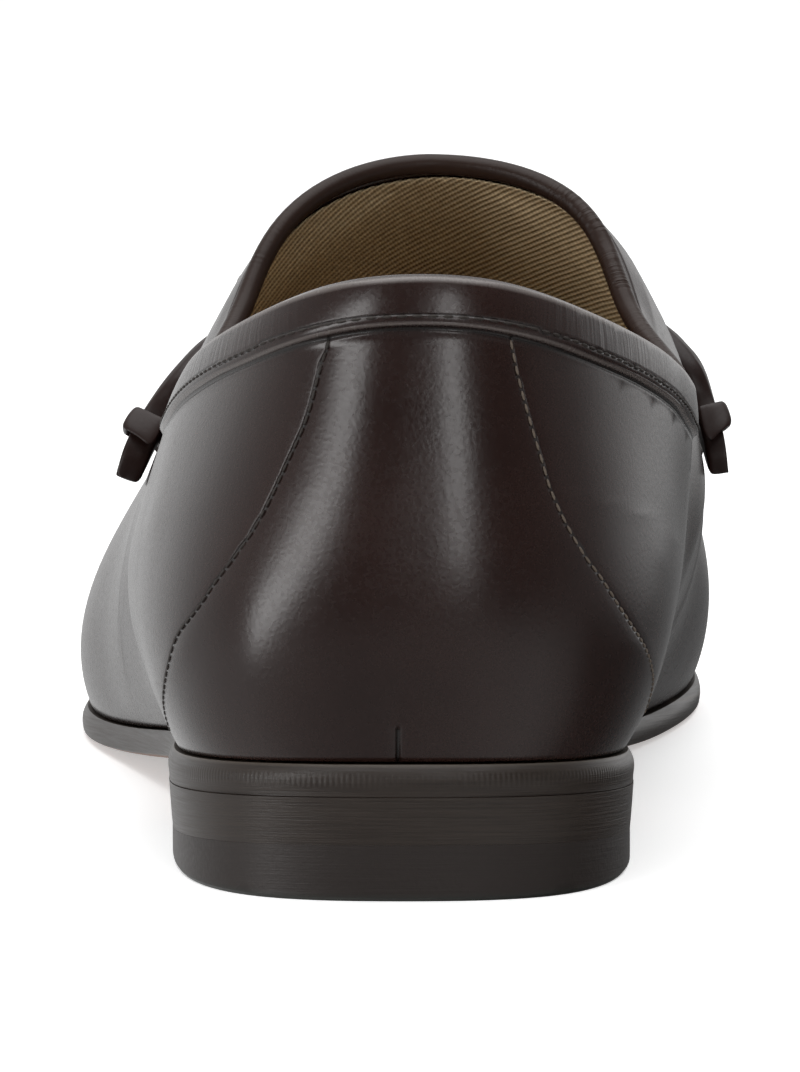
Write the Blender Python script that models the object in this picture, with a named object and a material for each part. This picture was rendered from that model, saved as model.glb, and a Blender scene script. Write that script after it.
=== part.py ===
"""Bit loafer, left shoe. Heel to toe runs along +Y, the inner side of the foot is +X, up is +Z.

The origin is the middle of the heel's flat tread. All sizes are in metres.
"""

import math

import bmesh
import bpy
import numpy as np

# Named sizes
SHOE_LENGTH = 0.298
BALL_WIDTH = 0.101
TONGUE_HEIGHT = 0.0973
HEEL_HEIGHT = 0.0192
SEAT_FALL = 0.077
SOLE_THICK = 0.0046
WALL = 0.0020
GAP = 0.0003
HEEL_LENGTH = 0.073
HEEL_CENTRE = 0.034
TOP_LIFT = 0.0078
INSOLE_THICK = 0.0030
FEATHER_INSET = 0.0014
SEAM_HEIGHT = 0.0023
SEAM_HALF_WIDTH = 0.0023
COLLAR_STRIP = 0.0066
COLLAR_STEP = 0.0008
BINDING_RADIUS = 0.0017
STRAP_WIDTH = 0.0150
STRAP_THICK = 0.0023
STRAP_CORD = 0.0014
STRAP_THIN = 0.0016
TAB_WIDTH = 0.0085
KEEPER_AT = 0.875
KEEPER_REACH = 0.030
RING_RADIUS = 0.0083
RING_WIRE = 0.0014
RING_AT = 0.32
RING_TILT = 9
RING_LIFT = 0.0043
STRAP_RUN = 0.064
JOINT_LIFT = 0.0066
EYE_RADIUS = 0.0028
EYE_WIRE = 0.0008
HOLD_RADIUS = 0.0026
BAR_RADIUS = 0.0020
LOOP_WIDTH = 0.0078
LOOP_THICK = 0.0013
LOOP_RISE = 0.0040
SEAT_EDGE_INSET = 0.0002
TREAD_EDGE_INSET = 0.0016

# Where the strap runs: shares of the outline at its top and at its tips, and how far down each tip reaches
STRAP_TOP_AT = 0.560
STRAP_END_AT = 0.454
STRAP_END = {-1: 0.355, 1: 0.40}
CORD_FROM = 0.52
CORD_FULL = 0.66
TAB_FROM = 0.74
TAB_FULL = 0.84
TIP_FROM = 0.93

# How far the strap's outer face stands off beyond its own thickness, by reach from one tip to the other
STAND_COLUMNS = ("reach", "stand")
STAND = (
    (-1.00, 0.0016),
    (-0.92, 0.0022),
    (-0.84, 0.0017),
    (-0.76, 0.0004),
    (-0.68, 0.0),
    (0.62, 0.0),
    (0.70, 0.0004),
    (0.78, 0.0009),
    (0.88, 0.0010),
    (1.00, 0.0008),
)

# Sole outline, seen from above: shares of the shoe length and of the ball width
OUTLINE_COLUMNS = ("along", "lateral", "medial")
OUTLINE = (
    (0.006, 0.150, 0.150),
    (0.020, 0.226, 0.226),
    (0.047, 0.284, 0.283),
    (0.085, 0.318, 0.316),
    (0.140, 0.335, 0.330),
    (0.200, 0.340, 0.327),
    (0.270, 0.341, 0.305),
    (0.340, 0.356, 0.283),
    (0.410, 0.395, 0.284),
    (0.480, 0.441, 0.320),
    (0.550, 0.492, 0.380),
    (0.620, 0.520, 0.440),
    (0.700, 0.500, 0.484),
    (0.780, 0.442, 0.492),
    (0.860, 0.356, 0.446),
    (0.920, 0.268, 0.378),
    (0.965, 0.166, 0.292),
    (0.990, 0.062, 0.200),
)
TOE_TIP = (1.0, 0.068)

# Underside of the outsole from heel to toe: the seat, the waist, the flat tread and the toe spring
TREAD_COLUMNS = ("along", "underside")
TREAD = (
    (0.250, None),
    (0.330, 0.0066),
    (0.400, 0.0042),
    (0.470, 0.0019),
    (0.530, 0.0005),
    (0.570, 0.0),
    (0.740, 0.0),
    (0.800, 0.0012),
    (0.880, 0.0044),
    (0.950, 0.0080),
    (1.000, 0.0108),
)

# The top line: at is the share of the outline's length, sideways by the ball width
TOP_LINE_COLUMNS = ("at", "lateral", "medial", "along", "height")
TOP_LINE = (
    (0.000, 0.025, 0.025, 0.0170, 0.886),
    (0.050, -0.094, 0.144, 0.0250, 0.873),
    (0.100, -0.190, 0.246, 0.0570, 0.832),
    (0.150, -0.262, 0.332, 0.1140, 0.780),
    (0.200, -0.304, 0.388, 0.1710, 0.731),
    (0.250, -0.326, 0.420, 0.2250, 0.682),
    (0.300, -0.326, 0.424, 0.2750, 0.657),
    (0.340, -0.298, 0.395, 0.3150, 0.690),
    (0.370, -0.264, 0.358, 0.3430, 0.752),
    (0.400, -0.221, 0.325, 0.3700, 0.858),
    (0.428, -0.106, 0.228, 0.3980, 0.953),
)
TONGUE_AT = 0.450
ARCH_FROM = 0.30
ARCH_FULL = 0.40

# The ridge of the instep to the toe: the rows behind the tongue's edge only guide the sections there
RIDGE_COLUMNS = ("at", "sideways", "along", "height")
RIDGE = (
    (0.300, 0.046, 0.2700, 1.080),
    (0.360, 0.046, 0.3300, 1.055),
    (0.410, 0.058, 0.3760, 1.028),
    (0.450, 0.060, 0.4130, 0.985),
    (0.500, 0.055, 0.4680, 0.907),
    (0.550, 0.046, 0.5300, 0.802),
    (0.600, 0.042, 0.5940, 0.689),
    (0.650, 0.039, 0.6570, 0.590),
    (0.700, 0.038, 0.7180, 0.516),
    (0.750, 0.040, 0.7750, 0.469),
    (0.800, 0.044, 0.8250, 0.437),
    (0.850, 0.051, 0.8640, 0.414),
    (0.900, 0.058, 0.8910, 0.396),
    (0.950, 0.064, 0.9090, 0.383),
    (1.000, 0.068, 0.9170, 0.376),
)

# How each section of the upper rises: lean out at the sole and the slope at the top, in degrees,
# the two handles as shares of the ball width, and where the raised seam runs
SECTION_COLUMNS = (
    "at", "lat_lean", "lat_low", "lat_slope", "lat_high",
    "med_lean", "med_low", "med_slope", "med_high", "seam",
)
SECTION = (
    (0.000, 24, 0.200, 83, 0.240, 24, 0.200, 83, 0.240, 0.60),
    (0.080, 27, 0.205, 80, 0.220, 27, 0.200, 82, 0.220, 0.60),
    (0.160, 30, 0.220, 77, 0.195, 34, 0.180, 86, 0.200, 0.58),
    (0.250, 32, 0.238, 72, 0.180, 42, 0.170, 93, 0.200, 0.55),
    (0.330, 35, 0.267, 66, 0.200, 46, 0.225, 85, 0.205, 0.50),
    (0.400, 35, 0.317, 61, 0.277, 50, 0.356, 62, 0.277, 0.44),
    (0.450, 30, 0.317, 0, 0.262, 52, 0.480, 0, 0.350, 0.43),
    (0.520, 24, 0.265, 0, 0.285, 46, 0.395, 0, 0.350, 0.46),
    (0.600, 27, 0.232, 0, 0.325, 39, 0.318, 0, 0.355, 0.50),
    (0.700, 24, 0.198, 0, 0.335, 26, 0.230, 0, 0.340, 0.52),
    (0.800, 21, 0.175, 0, 0.275, 20, 0.180, 0, 0.280, 0.54),
    (0.900, 17, 0.155, 0, 0.185, 17, 0.155, 0, 0.190, 0.57),
    (1.000, 13, 0.130, 0, 0.130, 13, 0.130, 0, 0.130, 0.60),
)

COLLAR_STATIONS = (
    0.0, 0.016, 0.033, 0.052, 0.075, 0.1, 0.13, 0.165, 0.2, 0.24, 0.28, 0.31,
    0.335, 0.355, 0.374, 0.391, 0.406, 0.419, 0.430, 0.439, 0.446, 0.45,
)
FRONT_STATIONS = (
    0.465, 0.480, 0.494, 0.507, 0.53, 0.565, 0.605, 0.64, 0.68, 0.72, 0.76, 0.8, 0.835,
    0.865, 0.89, 0.913, 0.933, 0.951, 0.967, 0.981, 0.992, 1.0,
)
STATIONS = COLLAR_STATIONS + FRONT_STATIONS
TONGUE_COLUMN = len(COLLAR_STATIONS) - 1


def pick(table, names, name):
    return np.array([row[names.index(name)] for row in table], float)


def ease(value, start, end):
    share = min(1.0, max(0.0, (value - start) / (end - start)))
    return share * share * (3 - 2 * share)


def steady(xs, ys):
    """A curve through the rows that never overshoots them."""
    xs = np.asarray(xs, float)
    ys = np.asarray(ys, float)
    steps = np.diff(xs)
    rise = np.diff(ys) / steps
    slope = np.zeros(len(xs))
    slope[0] = rise[0]
    slope[-1] = rise[-1]
    for i in range(1, len(xs) - 1):
        if rise[i - 1] * rise[i] > 0:
            left = 2 * steps[i] + steps[i - 1]
            right = steps[i] + 2 * steps[i - 1]
            slope[i] = (left + right) / (left / rise[i - 1] + right / rise[i])

    def at(x):
        x = min(max(x, xs[0]), xs[-1])
        i = min(int(np.searchsorted(xs, x, side="right")) - 1, len(xs) - 2)
        u = (x - xs[i]) / steps[i]
        value = ys[i] * (1 + 2 * u) * (1 - u) ** 2 + slope[i] * steps[i] * u * (1 - u) ** 2
        value += ys[i + 1] * u * u * (3 - 2 * u) + slope[i + 1] * steps[i] * u * u * (u - 1)
        return float(value)

    return at


def smooth(xs, ys, period=None):
    """A cubic curve through the rows: closed when it has a period, and free at its ends otherwise."""
    xs = np.asarray(xs, float)
    ys = np.asarray(ys, float)
    if period:
        xs = np.append(xs, xs[0] + period)
        ys = np.append(ys, ys[:1], axis=0)
    steps = np.diff(xs)
    count = len(xs)
    lines = np.zeros((count, count))
    right = np.zeros((count,) + ys.shape[1:])
    for i in range(1, count - 1):
        lines[i, i - 1 : i + 2] = steps[i - 1], 2 * (steps[i - 1] + steps[i]), steps[i]
        right[i] = 6 * ((ys[i + 1] - ys[i]) / steps[i] - (ys[i] - ys[i - 1]) / steps[i - 1])
    if period:
        lines[0, 0] = 1
        lines[0, -1] = -1
        lines[-1, 0] = 2 * (steps[0] + steps[-1])
        lines[-1, 1] = steps[0]
        lines[-1, -2] = steps[-1]
        right[-1] = 6 * ((ys[1] - ys[0]) / steps[0] - (ys[-1] - ys[-2]) / steps[-1])
    else:
        lines[0, 0] = 1
        lines[-1, -1] = 1
    bend = np.linalg.solve(lines, right)

    def at(x):
        if period:
            x = xs[0] + (x - xs[0]) % period
        i = min(max(int(np.searchsorted(xs, x, side="right")) - 1, 0), count - 2)
        h = steps[i]
        a = (xs[i + 1] - x) / h
        b = (x - xs[i]) / h
        curved = ((a**3 - a) * bend[i] + (b**3 - b) * bend[i + 1]) * h * h / 6
        return a * ys[i] + b * ys[i + 1] + curved

    return at


def sole_curves():
    """Both sides of the sole outline from the heel's middle to the toe tip, with normals and lengths."""
    along = pick(OUTLINE, OUTLINE_COLUMNS, "along") * SHOE_LENGTH
    lateral = -pick(OUTLINE, OUTLINE_COLUMNS, "lateral") * BALL_WIDTH
    medial = pick(OUTLINE, OUTLINE_COLUMNS, "medial") * BALL_WIDTH
    points = [(0.0, 0.0)]
    points += list(zip(lateral, along))
    points += [(TOE_TIP[1] * BALL_WIDTH, SHOE_LENGTH)]
    points += list(zip(medial[::-1], along[::-1]))
    points = np.array(points)
    chords = np.linalg.norm(np.roll(points, -1, axis=0) - points, axis=1)
    knots = np.concatenate([[0.0], np.cumsum(chords)[:-1]])
    whole = float(chords.sum())
    curve = smooth(knots, points, whole)
    toe = knots[len(along) + 1]
    sides = {}
    for side, start in ((-1, 0.0), (1, whole)):
        line = np.array([curve(u) for u in np.linspace(start, toe, 900)])
        line[0] = points[0]
        heading = np.gradient(line, axis=0)
        heading /= np.linalg.norm(heading, axis=1)[:, None]
        normals = np.stack([side * heading[:, 1], -side * heading[:, 0]], axis=1)
        length = np.concatenate([[0], np.cumsum(np.linalg.norm(np.diff(line, axis=0), axis=1))])
        sides[side] = (line, normals, length / length[-1])
    return sides


SIDES = sole_curves()


def rim(side, at, inset=0.0):
    """A point of the sole outline, moved in by the inset, and the way out from it."""
    line, normals, share = SIDES[side]
    point = np.array([np.interp(at, share, line[:, k]) for k in (0, 1)])
    way = np.array([np.interp(at, share, normals[:, k]) for k in (0, 1)])
    if at <= 0.0:
        way = np.array([0.0, -1.0])
    if at >= 1.0:
        way = np.array([0.0, 1.0])
    way /= np.linalg.norm(way)
    return point - inset * way, way


def under_rows():
    xs = [0.0, 0.10, 0.18]
    ys = [HEEL_HEIGHT - SOLE_THICK - SEAT_FALL * x * SHOE_LENGTH for x in xs]
    for along, height in TREAD:
        if height is None:
            height = HEEL_HEIGHT - SOLE_THICK - SEAT_FALL * along * SHOE_LENGTH
        xs.append(along)
        ys.append(height)
    return steady(xs, ys)


UNDER = under_rows()


def sole_under(y):
    return UNDER(y / SHOE_LENGTH)


def sole_top(y):
    return sole_under(y) + SOLE_THICK


def top_line_curve():
    """The top line as one closed curve: minus values of at are the lateral side."""
    at = pick(TOP_LINE, TOP_LINE_COLUMNS, "at")
    along = pick(TOP_LINE, TOP_LINE_COLUMNS, "along") * SHOE_LENGTH
    height = pick(TOP_LINE, TOP_LINE_COLUMNS, "height") * TONGUE_HEIGHT
    lateral = pick(TOP_LINE, TOP_LINE_COLUMNS, "lateral") * BALL_WIDTH
    medial = pick(TOP_LINE, TOP_LINE_COLUMNS, "medial") * BALL_WIDTH
    tip = tuple(RIDGE_CURVE(TONGUE_AT))
    knots = [-TONGUE_AT]
    rows = [tip]
    for i in range(len(at) - 1, 0, -1):
        knots.append(-at[i])
        rows.append((lateral[i], along[i], height[i]))
    for i in range(len(at)):
        knots.append(at[i])
        rows.append((medial[i], along[i], height[i]))
    return smooth(knots, np.array(rows), 2 * TONGUE_AT)


RIDGE_CURVE = smooth(
    pick(RIDGE, RIDGE_COLUMNS, "at"),
    np.stack(
        [
            pick(RIDGE, RIDGE_COLUMNS, "sideways") * BALL_WIDTH,
            pick(RIDGE, RIDGE_COLUMNS, "along") * SHOE_LENGTH,
            pick(RIDGE, RIDGE_COLUMNS, "height") * TONGUE_HEIGHT,
        ],
        axis=1,
    ),
)
TOP_CURVE = top_line_curve()
SHAPES = {
    name: steady(pick(SECTION, SECTION_COLUMNS, "at"), pick(SECTION, SECTION_COLUMNS, name))
    for name in SECTION_COLUMNS[1:]
}


def top_point(side, at):
    if at < TONGUE_AT:
        return TOP_CURVE(side * at)
    return RIDGE_CURVE(at)


def ridge_fall(at):
    near = RIDGE_CURVE(at)
    far = RIDGE_CURVE(at + 0.004)
    return max((far[2] - near[2]) / max(far[1] - near[1], 1e-5), -0.75)


def between(foot, first, last, top):
    """Points of the curve from the foot to the top with these two handles, and its length so far."""
    u = np.linspace(0, 1, 81)[:, None]
    line = foot * (1 - u) ** 3 + 3 * first * u * (1 - u) ** 2 + 3 * last * u * u * (1 - u) + top * u**3
    return line, lengths(line)


def lengths(line):
    return np.concatenate([[0], np.cumsum(np.linalg.norm(np.diff(line, axis=0), axis=1))])


def respace(line, end=1.0):
    """The line up to this share of its length, as evenly spaced points."""
    length = lengths(line)
    marks = np.linspace(0, end * length[-1], 81)
    return np.stack([np.interp(marks, length, line[:, k]) for k in range(3)], axis=1)


WALL_CURVES = {}


def wall_curve(side, at):
    """The section of the upper that rises from the sole at this share of the outline.

    Behind the tongue's edge the section follows the full arch over the instep, cut at the top line.
    """
    key = (side, round(at, 6))
    if key in WALL_CURVES:
        return WALL_CURVES[key]
    foot, way = rim(side, at, FEATHER_INSET)
    foot = np.array([foot[0], foot[1], sole_top(foot[1]) + GAP])
    top = top_point(side, at)
    part = ease(at, ARCH_FROM, ARCH_FULL)
    line = 0.0
    if part < 1.0:
        line = (1 - part) * respace(collar_section(side, at, foot, way, top))
    if part > 0.0:
        arch = arch_section(side, at, foot, way)
        if at < TONGUE_AT:
            near = int(np.argmin(np.linalg.norm(arch - top, axis=1)))
            length = lengths(arch)
            arch = respace(arch, length[near] / length[-1])
            arch += (top - arch[-1]) * np.linspace(0, 1, len(arch))[:, None] ** 2
        line = line + part * respace(arch)
    WALL_CURVES[key] = (line, lengths(line))
    return WALL_CURVES[key]


def collar_section(side, at, foot, way, top):
    prefix = "lat_" if side < 0 else "med_"
    lean = math.radians(SHAPES[prefix + "lean"](at))
    slope = math.radians(SHAPES[prefix + "slope"](at))
    low = SHAPES[prefix + "low"](at) * BALL_WIDTH
    high = SHAPES[prefix + "high"](at) * BALL_WIDTH
    first = foot + low * np.array([way[0] * math.sin(lean), way[1] * math.sin(lean), math.cos(lean)])
    last = top + high * np.array([way[0] * math.cos(slope), way[1] * math.cos(slope), -math.sin(slope)])
    return between(foot, first, last, top)[0]


def arch_section(side, at, foot, way):
    prefix = "lat_" if side < 0 else "med_"
    shaped = max(at, TONGUE_AT)
    lean = math.radians(SHAPES[prefix + "lean"](shaped))
    low = SHAPES[prefix + "low"](shaped) * BALL_WIDTH
    high = SHAPES[prefix + "high"](shaped) * BALL_WIDTH
    top = RIDGE_CURVE(at)
    across = foot[:2] - top[:2]
    across /= np.linalg.norm(across)
    first = foot + low * np.array([way[0] * math.sin(lean), way[1] * math.sin(lean), math.cos(lean)])
    last = top + high * np.array([across[0], across[1], ridge_fall(at) * across[1]])
    return between(foot, first, last, top)[0]


def wall_point(side, at, share):
    line, length = wall_curve(side, at)
    return np.array([np.interp(share * length[-1], length, line[:, k]) for k in range(3)])


def wall_frame(side, at, share):
    """A point of the upper's surface and the way out from it."""
    low = max(at - 0.004, 0.0)
    high = min(at + 0.004, 1.0)
    ahead = wall_point(side, high, share) - wall_point(side, low, share)
    if share > 0.985:
        other = wall_point(-side, at, share - 0.03) if at >= TONGUE_AT else wall_point(side, at, 1.0)
        rise = other - wall_point(side, at, share - 0.03)
    else:
        rise = wall_point(side, at, min(share + 0.015, 1.0)) - wall_point(side, at, share - 0.015)
    way = np.cross(ahead, rise) * side
    return wall_point(side, at, share), way / np.linalg.norm(way)


def leather(name, colour, roughness=0.45, metallic=0.0):
    material = bpy.data.materials.new(name)
    material.use_nodes = True
    shader = material.node_tree.nodes["Principled BSDF"]
    shader.inputs["Base Color"].default_value = (*colour, 1.0)
    shader.inputs["Roughness"].default_value = roughness
    shader.inputs["Metallic"].default_value = metallic
    material.diffuse_color = (*colour, 1.0)
    return material


def solid(name, points, faces, material, sharp=50):
    """One closed object, with its faces turned outwards."""
    mesh = bpy.data.meshes.new(name)
    mesh.from_pydata([tuple(float(c) for c in p) for p in points], [], faces)
    work = bmesh.new()
    work.from_mesh(mesh)
    bmesh.ops.remove_doubles(work, verts=work.verts, dist=1e-7)
    bmesh.ops.recalc_face_normals(work, faces=work.faces)
    bmesh.ops.translate(work, verts=work.verts, vec=(0, -HEEL_CENTRE, 0))
    work.to_mesh(mesh)
    work.free()
    mesh.materials.append(material)
    mesh.shade_smooth()
    mesh.set_sharp_from_angle(angle=math.radians(sharp))
    made = bpy.data.objects.new(name, mesh)
    bpy.context.scene.collection.objects.link(made)
    return made


def rounds(count, start=0.0, end=1.0, crowd=0.0):
    """Evenly spread shares, crowded towards both ends."""
    spread = np.linspace(0, 1, count + 1)
    spread = spread - crowd * np.sin(2 * math.pi * spread) / (2 * math.pi)
    return start + (end - start) * spread


def slab(name, levels, stations, across, material, breast=None, sharp=50):
    """A sole-shaped solid. Each level is an inset and a height over (x, y), from the bottom up.

    The breast, if any, is how far the cut front edge is hollowed; without it the slab ends at the toe.
    """
    points = []
    loops = []
    last = len(stations) - 1
    for inset, height in levels:
        rungs = []
        for i, at in enumerate(stations):
            depth = inset(at) if callable(inset) else inset
            left = rim(-1, at, depth)[0]
            right = rim(1, at, depth)[0]
            if i == 0 or (i == last and breast is None):
                rungs.append([left * 0.5 + right * 0.5])
                continue
            shares = np.linspace(0, 1, across + 1)
            rung = [left * (1 - s) + right * s for s in shares]
            if breast is not None:
                bow = breast * (i / last) ** 6
                rung = [p - np.array([0, bow * 4 * s * (1 - s)]) for p, s in zip(rung, shares)]
            rungs.append(rung)
        numbers = []
        for rung in rungs:
            numbers.append(list(range(len(points), len(points) + len(rung))))
            points += [(p[0], p[1], height(p[0], p[1])) for p in rung]
        loops.append(numbers)
    faces = []

    def cover(numbers):
        for a, b in zip(numbers[:-1], numbers[1:]):
            if len(a) == 1:
                faces.extend([(a[0], b[k], b[k + 1]) for k in range(len(b) - 1)])
            elif len(b) == 1:
                faces.extend([(a[k], a[k + 1], b[0]) for k in range(len(a) - 1)])
            else:
                faces.extend([(a[k], a[k + 1], b[k + 1], b[k]) for k in range(len(a) - 1)])

    def edge(numbers):
        loop = [rung[0] for rung in numbers]
        if breast is not None:
            loop += numbers[-1][1:-1]
            loop += [rung[-1] for rung in numbers[::-1][:-1]]
        else:
            loop += [rung[-1] for rung in numbers[::-1][1:-1]]
        return loop

    cover(loops[0])
    cover(loops[-1])
    for lower, upper in zip(loops[:-1], loops[1:]):
        a = edge(lower)
        b = edge(upper)
        for k in range(len(a)):
            n = (k + 1) % len(a)
            faces.append((a[k], a[n], b[n], b[k]))
    used = sorted({n for face in faces for n in face})
    order = {n: k for k, n in enumerate(used)}
    faces = [tuple(order[n] for n in face) for face in faces]
    return solid(name, [points[n] for n in used], faces, material, sharp)


def breast_station():
    line, _, share = SIDES[-1]
    return float(np.interp(HEEL_LENGTH, line[:, 1], share))


def make_sole(leathers):
    seat = rounds(9, 0.0, breast_station(), 0.3)
    fore = rounds(24, breast_station(), 1.0, 0.25)[1:]
    stations = list(seat) + list(fore)

    def under(x, y):
        return sole_under(y)

    def top(x, y):
        return sole_top(y)

    def low_edge(at):
        """The lower edge is square over the heel and rounded in front of it."""
        fore = ease(at, breast_station(), breast_station() + 0.04)
        return SEAT_EDGE_INSET + (TREAD_EDGE_INSET - SEAT_EDGE_INSET) * fore

    levels = (
        (low_edge, under),
        (0.0002, lambda x, y: under(x, y) + 0.0009),
        (0.0000, lambda x, y: under(x, y) + 0.0020),
        (0.0001, lambda x, y: top(x, y) - 0.0012),
        (0.0009, top),
    )
    slab("outsole", levels, stations, 4, leathers["sole"])
    heel = list(rounds(14, 0.0, breast_station(), 0.45))
    stack_levels = (
        (0.0007, lambda x, y: split(y) + GAP / 2),
        (0.0005, lambda x, y: split(y) + 0.0022),
        (SEAT_EDGE_INSET, lambda x, y: under(x, y) - GAP),
    )
    slab("heel_stack", stack_levels, heel, 4, leathers["heel"], 0.0035)
    lift_levels = (
        (0.0011, lambda x, y: 0.0),
        (0.0007, lambda x, y: 0.0005),
        (0.0007, lambda x, y: split(y) - GAP / 2),
    )
    slab("top_lift", lift_levels, heel, 4, leathers["lift"], 0.0035)
    inner = list(rounds(30, 0.0, 1.0, 0.45))
    insole_levels = (
        (FEATHER_INSET + WALL + 0.0004, lambda x, y: top(x, y) + GAP),
        (FEATHER_INSET + WALL + 0.0004, lambda x, y: top(x, y) + GAP + INSOLE_THICK),
    )
    slab("insole", insole_levels, inner, 4, leathers["insole"])


def split(y):
    """The joint between the leather lifts and the top lift, parallel to the seat."""
    return TOP_LIFT - SEAT_FALL * y


def row_shares(side, at):
    """Shares of the section's length where the upper's rows run, with the step out at each."""
    length = wall_curve(side, at)[1][-1]
    seam = SHAPES["seam"](at)
    half = SEAM_HALF_WIDTH / length
    strip = COLLAR_STRIP / length
    seam_on = ease(at, 0.494, 0.507)
    strip_on = 1 - ease(at, 0.31, 0.36)
    rows = [(0.0, 0.0)]
    rows += [(k * (seam - half), 0.0) for k in (0.1, 0.26, 0.44, 0.63, 0.82)]
    rows.append((seam - half, 0.0002 * seam_on))
    rows.append((seam - half * 0.35, SEAM_HEIGHT * seam_on))
    rows.append((seam + half * 0.45, SEAM_HEIGHT * 0.93 * seam_on))
    rows.append((seam + half, 0.0))
    low = seam + half
    high = 1 - strip - 0.0004 / length
    rows += [(low + k * (high - low), 0.0) for k in (0.28, 0.62)]
    rows.append((high, 0.0))
    rows.append((1 - strip + 0.0003 / length, COLLAR_STEP * strip_on))
    rows.append((1 - strip * 0.4, COLLAR_STEP * strip_on))
    rows.append((1.0, COLLAR_STEP * 0.4 * strip_on))
    return rows


def make_upper(leathers):
    """The hollow upper: an outer face with its steps, an inner face and the rims that join them."""
    points = []
    steps = []
    number = {}

    def place(side, column, row, share, step):
        key = (side, column, row)
        if column in (0, len(STATIONS) - 1):
            key = (0, column, row)
        if row == last_row and column >= TONGUE_COLUMN:
            key = (0, column, row)
        if key not in number:
            number[key] = len(points)
            points.append(wall_point(side, STATIONS[column], share))
            steps.append(step)
        number[(side, column, row)] = number[key]

    last_row = len(row_shares(-1, 0.0)) - 1
    for side in (-1, 1):
        for column, at in enumerate(STATIONS):
            for row, (share, step) in enumerate(row_shares(side, at)):
                place(side, column, row, share, step)
    faces = []
    for side in (-1, 1):
        for column in range(len(STATIONS) - 1):
            for row in range(last_row):
                a = number[(side, column, row)]
                b = number[(side, column + 1, row)]
                c = number[(side, column + 1, row + 1)]
                d = number[(side, column, row + 1)]
                faces.append((a, b, c, d) if side > 0 else (d, c, b, a))
    points = np.array(points)
    steps = np.array(steps)
    mesh = bpy.data.meshes.new("skin")
    mesh.from_pydata([tuple(p) for p in points], [], faces)
    normals = np.array([tuple(v.normal) for v in mesh.vertices])
    bpy.data.meshes.remove(mesh)
    outer = points + normals * steps[:, None]
    inner = points - normals * WALL
    feet = [number[(side, column, 0)] for side in (-1, 1) for column in range(len(STATIONS))]
    inner[feet, 2] = points[feet, 2]
    count = len(points)
    every = [tuple(p) for p in outer] + [tuple(p) for p in inner]
    shell = list(faces)
    shell += [tuple(n + count for n in face[::-1]) for face in faces]
    top_loop = [number[(-1, c, last_row)] for c in range(TONGUE_COLUMN + 1)]
    top_loop += [number[(1, c, last_row)] for c in range(TONGUE_COLUMN - 1, 0, -1)]
    foot_loop = [number[(-1, c, 0)] for c in range(len(STATIONS))]
    foot_loop += [number[(1, c, 0)] for c in range(len(STATIONS) - 2, 0, -1)]
    crown = []
    size = len(top_loop)
    for k in range(size):
        heading = points[top_loop[(k + 1) % size]] - points[top_loop[k - 1]]
        free = np.cross(heading, normals[top_loop[k]])
        free /= np.linalg.norm(free)
        crown.append(len(every))
        middle = (outer[top_loop[k]] + inner[top_loop[k]]) / 2
        every.append(tuple(middle + free * 0.0007))
    for k in range(size):
        n = (k + 1) % size
        shell.append((top_loop[k], top_loop[n], crown[n], crown[k]))
        shell.append((crown[k], crown[n], top_loop[n] + count, top_loop[k] + count))
    size = len(foot_loop)
    for k in range(size):
        n = (k + 1) % size
        shell.append((foot_loop[k], foot_loop[n], foot_loop[n] + count, foot_loop[k] + count))
    solid("upper", every, shell, leathers["upper"], 60)
    return [points[n] for n in top_loop], [normals[n] for n in top_loop]


def tube(name, path, radii, around, material):
    """A closed round bar along the path, with one radius a point."""
    path = np.array(path, float)
    points = []
    faces = []
    heading = np.gradient(path, axis=0)
    heading /= np.linalg.norm(heading, axis=1)[:, None]
    side = np.cross(heading[0], (0.0, 0.0, 1.0))
    for k, (middle, way) in enumerate(zip(path, heading)):
        side = side - way * np.dot(side, way)
        side /= np.linalg.norm(side)
        other = np.cross(way, side)
        for a in range(around):
            turn = 2 * math.pi * a / around
            points.append(middle + radii[k] * (math.cos(turn) * side + math.sin(turn) * other))
    for k in range(len(path) - 1):
        for a in range(around):
            b = (a + 1) % around
            faces.append((k * around + a, k * around + b, (k + 1) * around + b, (k + 1) * around + a))
    faces.append(tuple(range(around)))
    faces.append(tuple((len(path) - 1) * around + a for a in range(around)))
    return solid(name, points, faces, material, 60)


def make_tongue_binding(loop, normals, leathers):
    """A rolled strip on the tongue's edge, from one side of the collar over to the other."""
    lift = BINDING_RADIUS + GAP + 0.0007
    size = len(loop)
    path = []
    start = TONGUE_COLUMN - 10
    for k in range(start, size - start + 1):
        heading = loop[(k + 1) % size] - loop[k - 1]
        free = np.cross(heading, normals[k % size])
        free /= np.linalg.norm(free)
        path.append(loop[k % size] - normals[k % size] * WALL * 0.5 + free * lift)
    ends = len(path) - 1
    radii = [BINDING_RADIUS * min(1.0, 0.55 + 0.3 * min(k, ends - k)) for k in range(len(path))]
    tube("tongue_binding", path, radii, 10, leathers["binding"])


def strap_spot(reach, offset):
    """A point under the strap. Reach runs from -1 at its lateral tip to 1 at its medial tip."""
    side = -1 if reach < 0 else 1
    far = abs(reach)
    share = 1 - far * (1 - STRAP_END[side])
    middle = STRAP_TOP_AT + (STRAP_END_AT - STRAP_TOP_AT) * far**1.25
    pace = np.linalg.norm(wall_point(side, middle + 0.005, share) - wall_point(side, middle - 0.005, share))
    at = middle + offset * 0.01 / pace
    return wall_frame(side, at, share)


def ribbon(name, rows, material, sharp=60):
    """A closed band from rows of section loops, capped at both ends."""
    around = len(rows[0])
    points = [p for row in rows for p in row]
    faces = []
    for k in range(len(rows) - 1):
        for a in range(around):
            b = (a + 1) % around
            faces.append((k * around + a, k * around + b, (k + 1) * around + b, (k + 1) * around + a))
    faces.append(tuple(range(around)))
    faces.append(tuple((len(rows) - 1) * around + a for a in range(around)))
    return solid(name, points, faces, material, sharp)


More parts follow.
